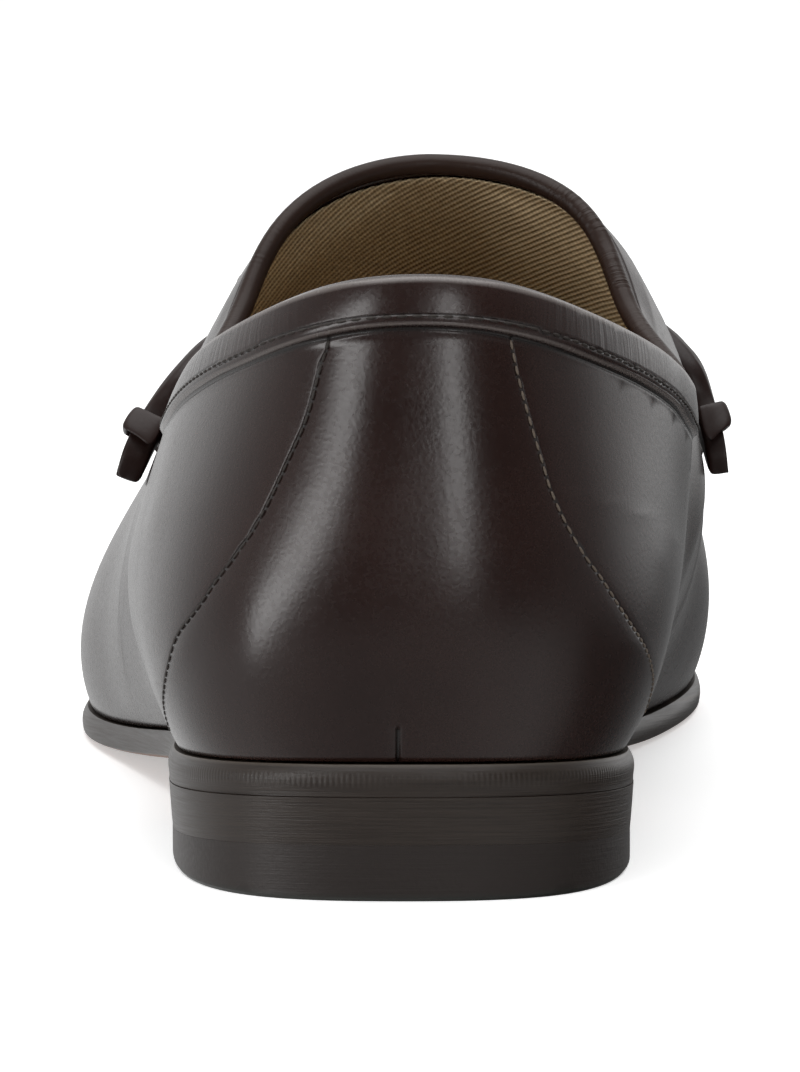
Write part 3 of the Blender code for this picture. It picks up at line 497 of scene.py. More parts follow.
def make_trims(strap_leather, binding_leather, metal):
    """The strap, its keepers and loops, the bit and the tongue's binding, by node."""
    copies = (
        ("strap", "saddle_strap", strap_leather, "strap_calf", 2),
        ("keeper_lateral", "strap_keeper_lateral", strap_leather, "strap_calf", 2),
        ("keeper_medial", "strap_keeper_medial", strap_leather, "strap_calf", 2),
        ("bit_loop_lateral", "ring_loop_lateral", strap_leather, "strap_calf", 2),
        ("bit_loop_medial", "ring_loop_medial", strap_leather, "strap_calf", 2),
        ("bit_ring_lateral", "ring_lateral", metal, "bit_metal", 2),
        ("bit_ring_medial", "ring_medial", metal, "bit_metal", 2),
        ("bit_bar_lateral", "bar_lateral", metal, "bit_metal", 1),
        ("bit_bar_medial", "bar_medial", metal, "bit_metal", 1),
        ("tongue_binding", "tongue_roll", binding_leather, "binding_calf", 2),
    )
    made = {}
    for node, name, material, slot, levels in copies:
        piece = merged_copy(node, name)
        if node.startswith("bit_loop"):
            crease_sharp(piece, LOOP_SHARP, 0.5)
        smoothed(piece, levels)
        if node == "tongue_binding":
            for vertex in piece.data.vertices:
                vertex.co += ROLL_SEAT
            store(piece, "roll_run", along_edge(piece, TONGUE_EDGE, 0.0006)[1])
        dress(piece, material, slot, node)
        made[node] = piece
    return made


def make_apron_seam(upper, leather):
    """The puckered seam round the apron: a rounded welt with a slanting rib for every stitch."""
    surface = surface_of(upper)
    line = smooth_line(APRON_SEAM, SEAM_STEP)
    _, ways, heading = laid_on(line, surface, SEAM_SPREAD)
    curve = bpy.data.curves.new("apron_seam", "CURVE")
    curve.dimensions = "3D"
    curve.bevel_depth = SEAM_HALF_WIDTH
    curve.bevel_resolution = 4
    curve.use_fill_caps = True
    spline = curve.splines.new("POLY")
    spline.points.add(len(line) - 1)
    for spot, point in zip(spline.points, line):
        spot.co = (*point, 1)
    made = bpy.data.objects.new("apron_seam", curve)
    bpy.context.scene.collection.objects.link(made)
    only(made)
    bpy.ops.object.convert(target="MESH")
    made = bpy.context.active_object
    total = len(made.data.vertices)
    around = total // len(line)
    place = np.array([v.co for v in made.data.vertices])
    for k in range(total):
        n = min(k // around, len(line) - 1)
        way = ways[n]
        across = np.cross(heading[n], way)
        offset = place[k] - line[n]
        side = float(np.dot(offset, across)) / SEAM_HALF_WIDTH
        up = float(np.dot(offset, way)) / SEAM_HALF_WIDTH
        run = n * SEAM_STEP
        ends = min(1.0, n / SEAM_END, (len(line) - 1 - n) / SEAM_END)
        rib = math.cos(2 * math.pi * (run / RIB_PITCH + RIB_SLANT * side))
        size = 1 + 0.09 * rib
        width = SEAM_HALF_WIDTH * (0.55 + 0.45 * ends) * (1.0 + 0.04 * rib)
        height = SEAM_RISE * size * (0.4 + 0.6 * ends)
        made.data.vertices[k].co = Vector(line[n] + across * side * width + way * (up * height + 0.0002))
    bpy.ops.object.shade_smooth()
    return dress(made, leather, "upper_calf")


def thread_stitch(length, width, height, material):
    """One stitch of thread, lying along +Y at the origin."""
    bpy.ops.object.select_all(action="DESELECT")
    bpy.ops.mesh.primitive_uv_sphere_add(segments=10, ring_count=7, radius=0.5, location=(0, 0, 0))
    made = bpy.context.active_object
    made.scale = (width, length, height)
    bpy.ops.object.transform_apply(scale=True)
    bpy.ops.object.shade_smooth()
    made.data.materials.append(material)
    return made


def stitch_row(name, rows, surface, pitch, size, material, slot):
    """Copies one stitch along a seam line, and joins the copies into one piece."""
    points, ways, heading = laid_on(smooth_line(rows, pitch), surface)
    model = thread_stitch(*size, material)
    copies = []
    for point, way, ahead in zip(points, ways, heading):
        side = np.cross(ahead, way)
        side /= np.linalg.norm(side)
        ahead = np.cross(way, side)
        turn = Matrix((side, ahead, way)).transposed().to_4x4()
        turn.translation = Vector(point)
        copy = model.copy()
        copy.data = model.data.copy()
        copy.data.transform(turn)
        bpy.context.scene.collection.objects.link(copy)
        copies.append(copy)
    bpy.data.objects.remove(model)
    bpy.ops.object.select_all(action="DESELECT")
    for copy in copies:
        copy.select_set(True)
    bpy.context.view_layer.objects.active = copies[0]
    bpy.ops.object.join()
    made = bpy.context.active_object
    made.name = name
    return dress(made, material, slot)


# Materials


class Shade:
    """A short way to place nodes in one tree."""

    def __init__(self, tree):
        self.tree = tree

    def add(self, kind, inputs=None, **settings):
        made = self.tree.nodes.new(kind)
        for name, value in settings.items():
            setattr(made, name, value)
        for name, value in (inputs or {}).items():
            if isinstance(value, bpy.types.NodeSocket):
                self.tree.links.new(value, made.inputs[name])
            else:
                made.inputs[name].default_value = value
        return made

    def math(self, operation, first, second=0.0, clamp=False):
        made = self.add("ShaderNodeMath", operation=operation, use_clamp=clamp)
        for n, value in enumerate((first, second)):
            if isinstance(value, bpy.types.NodeSocket):
                self.tree.links.new(value, made.inputs[n])
            else:
                made.inputs[n].default_value = value
        return made.outputs[0]

    def mix(self, share, first, second):
        made = self.add("ShaderNodeMix", data_type="RGBA")
        for n, value in ((0, share), (6, first), (7, second)):
            if isinstance(value, bpy.types.NodeSocket):
                self.tree.links.new(value, made.inputs[n])
            else:
                made.inputs[n].default_value = value if n == 0 else (*value, 1)
        return made.outputs[2]

    def group(self, tree, inputs):
        made = self.add("ShaderNodeGroup", node_tree=tree)
        for name, value in inputs.items():
            if isinstance(value, bpy.types.NodeSocket):
                self.tree.links.new(value, made.inputs[name])
            else:
                made.inputs[name].default_value = value
        return made

    def field(self, name):
        return self.add("ShaderNodeAttribute", attribute_name=name).outputs["Fac"]

    def place(self):
        return self.add("ShaderNodeTexCoord").outputs["Object"]


def node_group(name, inputs, outputs):
    tree = bpy.data.node_groups.new(name, "ShaderNodeTree")
    for label, kind, value in inputs:
        socket = tree.interface.new_socket(label, in_out="INPUT", socket_type=kind)
        if value is not None:
            socket.default_value = value
    for label, kind in outputs:
        tree.interface.new_socket(label, in_out="OUTPUT", socket_type=kind)
    start = tree.nodes.new("NodeGroupInput")
    end = tree.nodes.new("NodeGroupOutput")
    return tree, start.outputs, end.inputs


def make_calf_grain():
    """Fine pores over a faint unevenness, as a height and a mottle from 0 to 1."""
    tree, given, out = node_group(
        "calf_grain",
        (
            ("Place", "NodeSocketVector", None),
            ("Pores per Metre", "NodeSocketFloat", 1500.0),
            ("Pore Depth", "NodeSocketFloat", 0.000015),
            ("Wave Depth", "NodeSocketFloat", 0.00004),
        ),
        (("Height", "NodeSocketFloat"), ("Mottle", "NodeSocketFloat"), ("Pores", "NodeSocketFloat")),
    )
    s = Shade(tree)
    cells = s.add("ShaderNodeTexVoronoi", {"Vector": given["Place"], "Scale": given["Pores per Metre"]})
    grit = {"Vector": given["Place"], "Scale": given["Pores per Metre"], "Detail": 3.0}
    fine = s.add("ShaderNodeTexNoise", grit)
    wave = s.add("ShaderNodeTexNoise", {"Vector": given["Place"], "Scale": 70.0, "Detail": 2.0})
    mottle = {"Vector": given["Place"], "Scale": 38.0, "Detail": 5.0, "Roughness": 0.6}
    cloud = s.add("ShaderNodeTexNoise", mottle)
    pores = s.math("MULTIPLY", cells.outputs["Distance"], 0.55)
    pores = s.math("ADD", pores, s.math("MULTIPLY", fine.outputs["Fac"], 0.9))
    height = s.math("MULTIPLY", pores, given["Pore Depth"])
    height = s.math("ADD", height, s.math("MULTIPLY", wave.outputs["Fac"], given["Wave Depth"]))
    tree.links.new(height, out["Height"])
    tree.links.new(cloud.outputs["Fac"], out["Mottle"])
    tree.links.new(pores, out["Pores"])
    return tree


def make_seam_groove():
    """A groove along a stored seam distance: its height, and a mask that is 1 in the groove."""
    tree, given, out = node_group(
        "seam_groove",
        (
            ("Distance", "NodeSocketFloat", 0.0),
            ("Half Width", "NodeSocketFloat", 0.0004),
            ("Depth", "NodeSocketFloat", 0.0003),
            ("Shoulder", "NodeSocketFloat", 0.0),
        ),
        (("Height", "NodeSocketFloat"), ("Mask", "NodeSocketFloat")),
    )
    s = Shade(tree)
    share = s.math("DIVIDE", given["Distance"], given["Half Width"])
    mask = s.math("POWER", 2.718, s.math("MULTIPLY", s.math("MULTIPLY", share, share), -1.0))
    wide = s.math("DIVIDE", share, 4.0)
    soft = s.math("POWER", 2.718, s.math("MULTIPLY", s.math("MULTIPLY", wide, wide), -1.0))
    height = s.math("MULTIPLY", mask, s.math("MULTIPLY", given["Depth"], -1.0))
    height = s.math("SUBTRACT", height, s.math("MULTIPLY", soft, given["Shoulder"]))
    tree.links.new(height, out["Height"])
    tree.links.new(mask, out["Mask"])
    return tree


def make_brushed_edge():
    """Fine lines that run round a sole edge, from its stored run and drop."""
    tree, given, out = node_group(
        "brushed_edge",
        (
            ("Run", "NodeSocketFloat", 0.0),
            ("Drop", "NodeSocketFloat", 0.0),
            ("Lines per Metre", "NodeSocketFloat", 3200.0),
        ),
        (("Lines", "NodeSocketFloat"), ("Patches", "NodeSocketFloat")),
    )
    s = Shade(tree)
    down = s.math("MULTIPLY", given["Drop"], given["Lines per Metre"])
    sheet = s.add("ShaderNodeCombineXYZ", {"X": s.math("MULTIPLY", given["Run"], 60.0), "Y": down})
    brushing = {"Vector": sheet.outputs[0], "Scale": 1.0, "Detail": 4.0, "Roughness": 0.65}
    lines = s.add("ShaderNodeTexNoise", brushing)
    broad = s.add(
        "ShaderNodeCombineXYZ",
        {"X": s.math("MULTIPLY", given["Run"], 45.0), "Y": s.math("MULTIPLY", given["Drop"], 420.0)},
    )
    patches = s.add("ShaderNodeTexNoise", {"Vector": broad.outputs[0], "Scale": 1.0, "Detail": 3.0})
    tree.links.new(lines.outputs["Fac"], out["Lines"])
    tree.links.new(patches.outputs["Fac"], out["Patches"])
    return tree


def plain(name, roughness, coat=0.0, coat_roughness=0.1, metallic=0.0, specular=0.5):
    material = bpy.data.materials.new(name)
    material.use_nodes = True
    shader = material.node_tree.nodes["Principled BSDF"]
    shader.inputs["Roughness"].default_value = roughness
    shader.inputs["Coat Weight"].default_value = coat
    shader.inputs["Coat Roughness"].default_value = coat_roughness
    shader.inputs["Metallic"].default_value = metallic
    shader.inputs["Specular IOR Level"].default_value = specular
    return material, Shade(material.node_tree), shader


def bumped(s, shader, height):
    bump = s.add("ShaderNodeBump", {"Height": height, "Strength": 1.0, "Distance": 1.0})
    s.tree.links.new(bump.outputs["Normal"], shader.inputs["Normal"])


def calf_material(name, grain, roughness, coat, specular=0.5, detail=None):
    """Smooth polished calf: a mottled brown with fine pores, and any seams and folds that the detail adds."""
    material, s, shader = plain(name, roughness, coat, 0.18, specular=specular)
    skin = s.group(grain, {"Place": s.place(), "Pores per Metre": 1500.0, "Pore Depth": 0.000016})
    shade = s.math("MULTIPLY", s.math("SUBTRACT", skin.outputs["Mottle"], 0.3), 2.2, clamp=True)
    colour = s.mix(shade, CALF_DARK, CALF_LIGHT)
    height = skin.outputs["Height"]
    if detail:
        colour, height = detail(s, colour, height)
    s.tree.links.new(colour, shader.inputs["Base Color"])
    rough = s.math("ADD", s.math("MULTIPLY", skin.outputs["Pores"], 0.10), roughness - 0.07)
    rough = s.math("ADD", rough, s.math("MULTIPLY", shade, 0.05))
    s.tree.links.new(rough, shader.inputs["Roughness"])
    bumped(s, shader, height)
    return material


def upper_detail(groove):
    """The upper's own lines: two counter seams, the collar's strip with its row of holes, and a dart, with a
    painted shadow under the strip's edge, a painted highlight along that edge and a painted highlight on the
    collar's top rim.
    """

    def detail(s, colour, height):
        drop = s.field("collar_drop")
        run = s.field("collar_run")
        under_strip = s.math("MULTIPLY", s.math("SUBTRACT", drop, COLLAR_STRIP + 0.0001), 3000.0, clamp=True)
        parts = s.add("ShaderNodeSeparateXYZ", {"Vector": s.place()})
        dart = s.math("ADD", parts.outputs["X"], 0.00075)
        foot = s.math("MULTIPLY", s.math("SUBTRACT", 0.0247, parts.outputs["Z"]), 1500.0, clamp=True)
        behind = s.math("LESS_THAN", parts.outputs["Y"], -0.02)
        at_back = s.math("MULTIPLY", under_strip, s.math("LESS_THAN", parts.outputs["Y"], 0.012))
        before_tongue = s.math("MULTIPLY", s.math("SUBTRACT", 0.060, parts.outputs["Y"]), 200.0, clamp=True)
        near_edge = s.math("MULTIPLY", s.math("SUBTRACT", 0.0085, drop), 2000.0, clamp=True)
        near_edge = s.math("MULTIPLY", near_edge, before_tongue)
        rows = (
            (s.field("counter_lateral"), 0.00032, 0.00028, 0.00008, at_back, 0.85),
            (s.field("counter_medial"), 0.00028, 0.00022, 0.00006, at_back, 0.70),
            (s.field("collar_line"), 0.00030, 0.00014, 0.0, near_edge, 0.65),
            # This row is a real groove along the strip's lower edge, darkened as a painted shadow under the
            # strip's step; the other rows darken the seams' own joints.
            (s.math("SUBTRACT", drop, COLLAR_STRIP + 0.0003), 0.00034, 0.00022, 0.0, near_edge, 0.92),
            (dart, 0.00030, 0.00045, 0.00016, s.math("MULTIPLY", foot, behind), 0.95),
        )
        for distance, half_width, deep, shoulder, share, dark in rows:
            inputs = {"Distance": distance, "Half Width": half_width, "Depth": deep, "Shoulder": shoulder}
            seam = s.group(groove, inputs)
            mask = s.math("MULTIPLY", s.math("MULTIPLY", seam.outputs["Mask"], share), dark)
            height = s.math("ADD", height, s.math("MULTIPLY", seam.outputs["Height"], share))
            # Dark seam lines, and along the strip's edge a painted shadow.
            colour = s.mix(mask, colour, (0.004, 0.0025, 0.002))
        # A painted highlight: a light line along the strip's edge, over a real low raised cord in the height.
        cord_and_highlight = s.math("DIVIDE", s.math("SUBTRACT", drop, COLLAR_STRIP - 0.0003), 0.0003)
        cord_and_highlight = s.math("SUBTRACT", 1.0, s.math("MULTIPLY", cord_and_highlight, cord_and_highlight), clamp=True)
        cord_and_highlight = s.math("MULTIPLY", cord_and_highlight, before_tongue)
        colour = s.mix(s.math("MULTIPLY", cord_and_highlight, 0.6), colour, (0.115, 0.098, 0.090))
        height = s.math("ADD", height, s.math("MULTIPLY", cord_and_highlight, 0.00010))
        # A painted highlight: a light line along the collar's top edge.
        rim_highlight = s.math("SUBTRACT", 1.0, s.math("DIVIDE", drop, 0.0008), clamp=True)
        rim_highlight = s.math("MULTIPLY", s.math("MULTIPLY", rim_highlight, before_tongue), 0.8)
        colour = s.mix(rim_highlight, colour, (0.20, 0.175, 0.165))
        down = s.math("MULTIPLY", drop, 60.0)
        folds = s.add("ShaderNodeCombineXYZ", {"X": s.math("MULTIPLY", run, 950.0), "Y": down})
        fold = s.add("ShaderNodeTexNoise", {"Vector": folds.outputs[0], "Scale": 1.0, "Detail": 2.0})
        tight = s.math("SUBTRACT", s.math("ABSOLUTE", parts.outputs["X"]), 0.010)
        tight = s.math("MULTIPLY", tight, 90.0, clamp=True)
        on_strip = s.math("MULTIPLY", s.math("SUBTRACT", 0.0048, drop), 2500.0, clamp=True)
        on_strip = s.math("MULTIPLY", on_strip, before_tongue)
        amount = s.math("MULTIPLY", s.math("MULTIPLY", tight, on_strip), 0.00013)
        height = s.math("ADD", height, s.math("MULTIPLY", fold.outputs["Fac"], amount))
        return colour, height

    return detail


def roll_material(grain):
    """The binding: calf with fine wrinkles across the roll."""
    material, s, shader = plain("binding_calf", 0.36, specular=0.20)
    skin = s.group(grain, {"Place": s.place(), "Pores per Metre": 1700.0, "Pore Depth": 0.00002})
    run = s.field("roll_run")
    sheet = s.add("ShaderNodeCombineXYZ", {"X": s.math("MULTIPLY", run, 1150.0)})
    wrinkle = s.add("ShaderNodeTexNoise", {"Vector": sheet.outputs[0], "Scale": 1.0, "Detail": 2.0})
    patch = s.add("ShaderNodeTexNoise", {"Vector": s.place(), "Scale": 160.0, "Detail": 1.0})
    parts = s.add("ShaderNodeSeparateXYZ", {"Vector": s.place()})
    medial = s.math("MULTIPLY", s.math("SUBTRACT", parts.outputs["X"], 0.014), 60.0, clamp=True)
    amount = s.math("MULTIPLY", s.math("SUBTRACT", patch.outputs["Fac"], 0.3), 0.0012)
    amount = s.math("MULTIPLY", amount, s.math("ADD", medial, 0.25))
    height = s.math("ADD", skin.outputs["Height"], s.math("MULTIPLY", wrinkle.outputs["Fac"], amount))
    colour = s.mix(skin.outputs["Mottle"], (0.017, 0.0086, 0.0064), (0.031, 0.0170, 0.0125))
    s.tree.links.new(colour, shader.inputs["Base Color"])
    bumped(s, shader, height)
    return material


def cloth_material():
    """Tan drill: slanting ribs over a fine cross thread."""
    material, s, shader = plain("tan_drill_lining", 0.85, specular=0.2)
    place = s.place()
    parts = s.add("ShaderNodeSeparateXYZ", {"Vector": place})
    wobble = s.add("ShaderNodeTexNoise", {"Vector": place, "Scale": 120.0, "Detail": 2.0})
    facing = s.add("ShaderNodeSeparateXYZ", {"Vector": s.add("ShaderNodeNewGeometry").outputs["Normal"]})
    upright = s.math("GREATER_THAN", s.math("ABSOLUTE", facing.outputs["X"]), 0.80)
    lateral = s.math("MINIMUM", parts.outputs["X"], 0.0)
    turned = s.math("MULTIPLY", s.math("MULTIPLY", lateral, lateral), 16.0)
    risen = s.math("MULTIPLY", parts.outputs["Z"], 0.87)
    over = s.math("SUBTRACT", risen, s.math("MULTIPLY", parts.outputs["X"], 0.5))
    over = s.math("ADD", over, turned)
    side = s.math("ADD", risen, s.math("MULTIPLY", parts.outputs["Y"], 0.5))
    change = s.math("MULTIPLY", s.math("SUBTRACT", side, over), upright)
    slant = s.math("ADD", s.math("ADD", over, change), s.math("MULTIPLY", wobble.outputs["Fac"], 0.0003))
    ribs = s.math("SINE", s.math("MULTIPLY", slant, 2 * math.pi / 0.00080))
    cross = s.math("MULTIPLY", parts.outputs["Z"], 0.5)
    cross = s.math("ADD", cross, s.math("MULTIPLY", parts.outputs["X"], 0.87))
    threads = s.math("SINE", s.math("MULTIPLY", cross, 2 * math.pi / 0.00052))
    weave = s.math("ADD", s.math("MULTIPLY", ribs, 0.40), s.math("MULTIPLY", threads, 0.12))
    weave = s.math("ADD", weave, 0.5, clamp=True)
    uneven = s.add("ShaderNodeTexNoise", {"Vector": place, "Scale": 1100.0, "Detail": 3.0})
    cloud = s.add("ShaderNodeTexNoise", {"Vector": place, "Scale": 60.0, "Detail": 3.0})
    share = s.math("ADD", s.math("MULTIPLY", weave, 0.75), s.math("MULTIPLY", uneven.outputs["Fac"], 0.35))
    faded = s.math("MULTIPLY", s.math("SUBTRACT", cloud.outputs["Fac"], 0.5), 0.3)
    share = s.math("ADD", share, faded, clamp=True)
    colour = s.mix(share, (0.16, 0.110, 0.060), (0.74, 0.59, 0.37))
    s.tree.links.new(colour, shader.inputs["Base Color"])
    height = s.math("ADD", weave, s.math("MULTIPLY", uneven.outputs["Fac"], 0.3))
    height = s.math("MULTIPLY", height, 0.00024)
    bumped(s, shader, height)
    return material


def edge_material(brushed):
    """Inked sole edge with fine lines round it, a wheeled band on the seat, a painted highlight along the
    seat's top edge, and a bare underside.
    """
    material, s, shader = plain("inked_edge_leather", 0.4, 0.1, 0.3)
    run = s.field("edge_run")
    drop = s.field("edge_drop")
    lines = s.group(brushed, {"Run": run, "Drop": drop})
    share = s.math("MULTIPLY", lines.outputs["Lines"], 1.1)
    share = s.math("ADD", share, s.math("MULTIPLY", lines.outputs["Patches"], 0.15))
    share = s.math("SUBTRACT", share, 0.24, clamp=True)
    ink = s.mix(share, (0.011, 0.0066, 0.0043), (0.042, 0.0280, 0.0195))
    band = s.math("DIVIDE", s.math("SUBTRACT", drop, 0.0022), 0.0010)
    band = s.math("POWER", 2.718, s.math("MULTIPLY", s.math("POWER", band, 4.0), -1.0))
    fade = s.math("SUBTRACT", 1.0, s.math("DIVIDE", s.math("ABSOLUTE", run), 0.052), clamp=True)
    fade = s.math("MULTIPLY", fade, 3.0, clamp=True)
    worn = s.math("MULTIPLY", s.math("SUBTRACT", lines.outputs["Patches"], 0.30), 3.0, clamp=True)
    teeth = s.math("SINE", s.math("MULTIPLY", run, 2 * math.pi / 0.00078))
    teeth = s.math("MULTIPLY", s.math("MULTIPLY", s.math("MULTIPLY", teeth, band), fade), worn)
    pressed = s.math("MULTIPLY", s.math("MAXIMUM", teeth, 0.0), 0.26)
    ink = s.mix(pressed, ink, (0.006, 0.004, 0.003))
    # A painted highlight: a light tan line along the seat's top edge.
    lip_highlight = s.math("ABSOLUTE", s.math("SUBTRACT", drop, 0.0001))
    lip_highlight = s.math("SUBTRACT", 1.0, s.math("DIVIDE", lip_highlight, 0.0004), clamp=True)
    ink = s.mix(s.math("MULTIPLY", lip_highlight, 0.7), ink, (0.085, 0.066, 0.050))
    facing = s.add("ShaderNodeSeparateXYZ", {"Vector": s.add("ShaderNodeNewGeometry").outputs["Normal"]})
    under = s.math("SUBTRACT", s.math("MULTIPLY", facing.outputs["Z"], -1.0), 0.80)
    under = s.math("MULTIPLY", under, 6.0, clamp=True)
    grain = s.add("ShaderNodeTexNoise", {"Vector": s.place(), "Scale": 420.0, "Detail": 5.0})
    hide = s.mix(grain.outputs["Fac"], (0.20, 0.080, 0.035), (0.33, 0.15, 0.07))
    colour = s.mix(under, ink, hide)
    s.tree.links.new(colour, shader.inputs["Base Color"])
    rough = s.math("ADD", s.math("MULTIPLY", lines.outputs["Lines"], 0.3), 0.25)
    ledge = s.math("MULTIPLY", s.math("SUBTRACT", facing.outputs["Z"], 0.80), 6.0, clamp=True)
    rough = s.math("ADD", rough, s.math("MULTIPLY", s.math("ADD", under, ledge), 0.2), clamp=True)
    shine = s.math("SUBTRACT", 0.5, s.math("MULTIPLY", ledge, 0.35))
    s.tree.links.new(shine, shader.inputs["Specular IOR Level"])
    s.tree.links.new(rough, shader.inputs["Roughness"])
    height = s.math("MULTIPLY", lines.outputs["Lines"], 0.00008)
    height = s.math("ADD", height, s.math("MULTIPLY", teeth, -0.00003))
    rough_hide = s.math("MULTIPLY", grain.outputs["Fac"], s.math("MULTIPLY", under, 0.0002))
    height = s.math("ADD", height, rough_hide)
    bumped(s, shader, height)
    return material


def lift_material(brushed):
    """The top lift's dark rubber, ground smooth round its edge, with a painted greenish reflection along its
    bottom edge.
    """
    material, s, shader = plain("top_lift_rubber", 0.45, 0.05, 0.3)
    edge = {"Run": s.field("edge_run"), "Drop": s.field("edge_drop"), "Lines per Metre": 2400.0}
    lines = s.group(brushed, edge)
    share = s.math("MULTIPLY", lines.outputs["Lines"], 0.5)
    share = s.math("ADD", share, s.math("MULTIPLY", lines.outputs["Patches"], 0.08), clamp=True)
    colour = s.mix(share, (0.014, 0.0087, 0.0068), (0.026, 0.0168, 0.0135))
    # Within 1.2 mm of the floor the rubber turns dark green-grey: a painted reflection along the lift's
    # bottom edge.
    parts = s.add("ShaderNodeSeparateXYZ", {"Vector": s.place()})
    foot = s.math("SUBTRACT", 1.0, s.math("DIVIDE", parts.outputs["Z"], 0.0012), clamp=True)
    colour = s.mix(foot, colour, (0.016, 0.019, 0.015))
    s.tree.links.new(colour, shader.inputs["Base Color"])
    grain = s.add("ShaderNodeTexNoise", {"Vector": s.place(), "Scale": 1400.0, "Detail": 3.0})
    height = s.math("MULTIPLY", lines.outputs["Lines"], 0.00004)
    height = s.math("ADD", height, s.math("MULTIPLY", grain.outputs["Fac"], 0.00003))
    rough = s.math("ADD", s.math("MULTIPLY", grain.outputs["Fac"], 0.2), 0.36)
    s.tree.links.new(rough, shader.inputs["Roughness"])
    bumped(s, shader, height)
    return material


def sock_material(grain):
    material, s, shader = plain("tan_sock_leather", 0.55)
    skin = s.group(grain, {"Place": s.place(), "Pores per Metre": 1300.0, "Pore Depth": 0.00005})
    colour = s.mix(skin.outputs["Mottle"], (0.22, 0.13, 0.065), (0.36, 0.23, 0.12))
    s.tree.links.new(colour, shader.inputs["Base Color"])
    bumped(s, shader, skin.outputs["Height"])
    return material


def brass_material():
    material, s, shader = plain("bit_brass", 0.2, metallic=1.0)
    fine = s.add("ShaderNodeTexNoise", {"Vector": s.place(), "Scale": 700.0, "Detail": 4.0})
    cloud = s.add("ShaderNodeTexNoise", {"Vector": s.place(), "Scale": 120.0, "Detail": 3.0})
    colour = s.mix(cloud.outputs["Fac"], (0.62, 0.43, 0.19), (0.80, 0.60, 0.31))
    s.tree.links.new(colour, shader.inputs["Base Color"])
    rough = s.math("ADD", s.math("MULTIPLY", fine.outputs["Fac"], 0.16), 0.12)
    s.tree.links.new(rough, shader.inputs["Roughness"])
    bumped(s, shader, s.math("MULTIPLY", fine.outputs["Fac"], 0.00002))
    return material


def thread_material(name, dark, light):
    material, s, shader = plain(name, 0.6)
    twist = s.add("ShaderNodeTexNoise", {"Vector": s.place(), "Scale": 2600.0, "Detail": 2.0})
    s.tree.links.new(s.mix(twist.outputs["Fac"], dark, light), shader.inputs["Base Color"])
    bumped(s, shader, s.math("MULTIPLY", twist.outputs["Fac"], 0.00008))
    return material


# Studio


def way_to(azimuth, elevation):
    """A direction from the shoe, in degrees; azimuth 0 is towards the camera and minus is to its left."""
    a = math.radians(azimuth)
    e = math.radians(elevation)
    return Vector((math.sin(a) * math.cos(e), -math.cos(a) * math.cos(e), math.sin(e)))


def softbox(name, low, high, away, width, power):
    """A long soft light whose two ends lie in these directions, facing the shoe."""
    middle = Vector((0, 0, 0.05))
    foot = middle + way_to(*low) * away
    head = middle + way_to(*high) * away
    light = bpy.data.lights.new(name, "AREA")
    light.shape = "RECTANGLE"
    light.size = width
    light.size_y = (head - foot).length
    light.energy = power
    lamp = bpy.data.objects.new(name, light)
    bpy.context.scene.collection.objects.link(lamp)
    place = (foot + head) / 2
    back = (place - middle).normalized()
    along = (head - foot).normalized()
    along = (along - back * along.dot(back)).normalized()
    turn = Matrix((along.cross(back), along, back)).transposed()
    lamp.location = place
    lamp.rotation_euler = turn.to_euler()
    lamp.visible_camera = False
    return lamp


def ring_of_light(s, share, stops):
    """The room's brightness round the shoe, from its table."""
    ramp = s.add("ShaderNodeValToRGB", {"Fac": share})
    while len(ramp.color_ramp.elements) < len(stops):
        ramp.color_ramp.elements.new(0.5)
    for element, (degrees, level) in zip(ramp.color_ramp.elements, stops):
        element.position = degrees / 360 + 0.5
        element.color = (level / ROOM_SCALE, level / ROOM_SCALE, level / ROOM_SCALE, 1)
    return ramp.outputs["Color"]


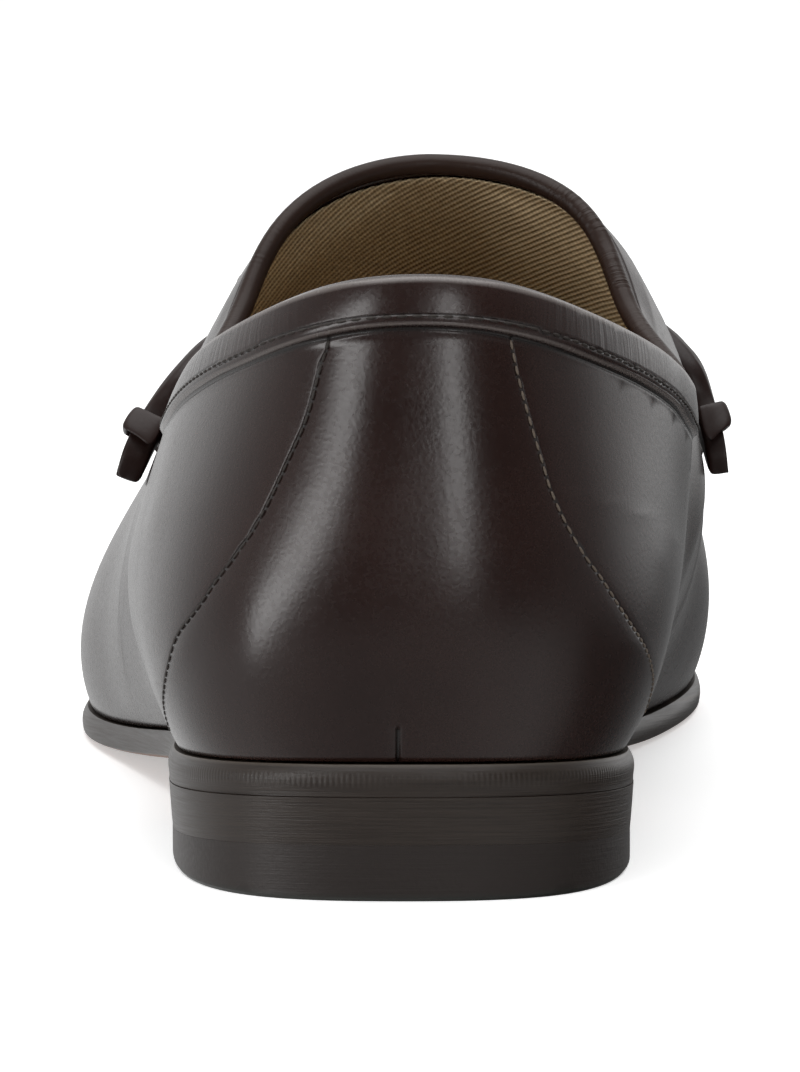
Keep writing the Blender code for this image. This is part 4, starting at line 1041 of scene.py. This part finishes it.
def make_studio():
    """A pale floor in a white room that is darker behind the camera, with three soft lights."""
    bpy.ops.object.select_all(action="DESELECT")
    bpy.ops.mesh.primitive_plane_add(size=30, location=(0, 0, 0))
    floor = bpy.context.active_object
    floor.name = "floor"
    floor.visible_glossy = False
    material, s, shader = plain("pale_floor", 0.9, specular=0.2)
    shader.inputs["Base Color"].default_value = (0.93, 0.93, 0.93, 1)
    shader.inputs["Emission Color"].default_value = (1, 1, 1, 1)
    glow = s.math("MULTIPLY", s.add("ShaderNodeLightPath").outputs["Is Camera Ray"], FLOOR_GLOW)
    s.tree.links.new(glow, shader.inputs["Emission Strength"])
    floor.data.materials.append(material)
    world = bpy.data.worlds.new("studio")
    bpy.context.scene.world = world
    world.use_nodes = True
    tree = world.node_tree
    s = Shade(tree)
    way = s.add("ShaderNodeSeparateXYZ", {"Vector": s.add("ShaderNodeTexCoord").outputs["Generated"]})
    turn = s.math("ARCTAN2", way.outputs["X"], s.math("MULTIPLY", way.outputs["Y"], -1.0))
    share = s.math("ADD", s.math("DIVIDE", turn, 2 * math.pi), 0.5)
    rise = s.math("DIVIDE", s.math("ADD", way.outputs["Z"], 0.11), 0.12, clamp=True)
    room = s.mix(rise, ring_of_light(s, share, ROOM_LOW), ring_of_light(s, share, ROOM_HIGH))
    high = s.math("DIVIDE", s.math("SUBTRACT", way.outputs["Z"], 0.55), 0.25, clamp=True)
    room = s.mix(high, room, (ROOM_TOP / ROOM_SCALE,) * 3)
    path = s.add("ShaderNodeLightPath")
    seen = s.mix(path.outputs["Is Camera Ray"], room, (1.0 / ROOM_SCALE,) * 3)
    tree.links.new(seen, tree.nodes["Background"].inputs["Color"])
    tree.nodes["Background"].inputs["Strength"].default_value = ROOM_SCALE
    for light in LIGHTS:
        softbox(*light)


def make_camera():
    lens = bpy.data.cameras.new("camera")
    camera = bpy.data.objects.new("camera", lens)
    bpy.context.scene.collection.objects.link(camera)
    camera.location = CAMERA_PLACE
    camera.rotation_euler = (CAMERA_AIM - CAMERA_PLACE).to_track_quat("-Z", "Y").to_euler()
    lens.sensor_width = 36
    lens.lens = CAMERA_LENS
    lens.clip_start = 0.05
    lens.clip_end = 60
    bpy.context.scene.camera = camera
    bpy.context.scene.view_settings.view_transform = "Standard"


def main():
    make_camera()
    make_studio()
    grain = make_calf_grain()
    groove = make_seam_groove()
    brushed = make_brushed_edge()
    calf = calf_material("dark_brown_calf", grain, 0.235, 0.12, detail=upper_detail(groove))
    strap_calf = calf_material("strap_calf", grain, 0.36, 0.03, specular=0.28)
    dark_and_shaded_thread = thread_material("dark_brown_and_shaded_thread", (0.010, 0.007, 0.005), (0.030, 0.021, 0.016))
    brown_thread = thread_material("brown_thread", (0.06, 0.044, 0.032), (0.15, 0.115, 0.085))
    upper = make_upper(calf)
    make_lining(cloth_material())
    make_sole(edge_material(brushed), lift_material(brushed), sock_material(grain))
    trims = make_trims(strap_calf, roll_material(grain), brass_material())
    make_apron_seam(upper, strap_calf)
    surface = surface_of(upper)
    strap = surface_of(trims["strap"])
    seams = (
        ("collar_stitches", COLLAR_STITCH, COLLAR_PITCH, COLLAR_THREAD, dark_and_shaded_thread),
        # The two counter seams are one thread: the lateral row's dark thread is painted shade, the medial
        # row's brown thread is its colour in light.
        ("counter_stitches_lateral", COUNTER_LATERAL, COUNTER_PITCH, FINE_STITCH, dark_and_shaded_thread),
        ("counter_stitches_medial", COUNTER_MEDIAL, COUNTER_PITCH, FINE_STITCH, brown_thread),
    )
    for name, rows, pitch, size, thread in seams:
        stitch_row(name, rows, surface, pitch, size, thread, "upper_calf")
    rims = (("strap_stitches_back", STRAP_BACK_STITCH), ("strap_stitches_front", STRAP_FRONT_STITCH))
    for name, rows in rims:
        stitch_row(name, rows, strap, STRAP_PITCH, FINE_STITCH, brown_thread, "strap_calf")


main()
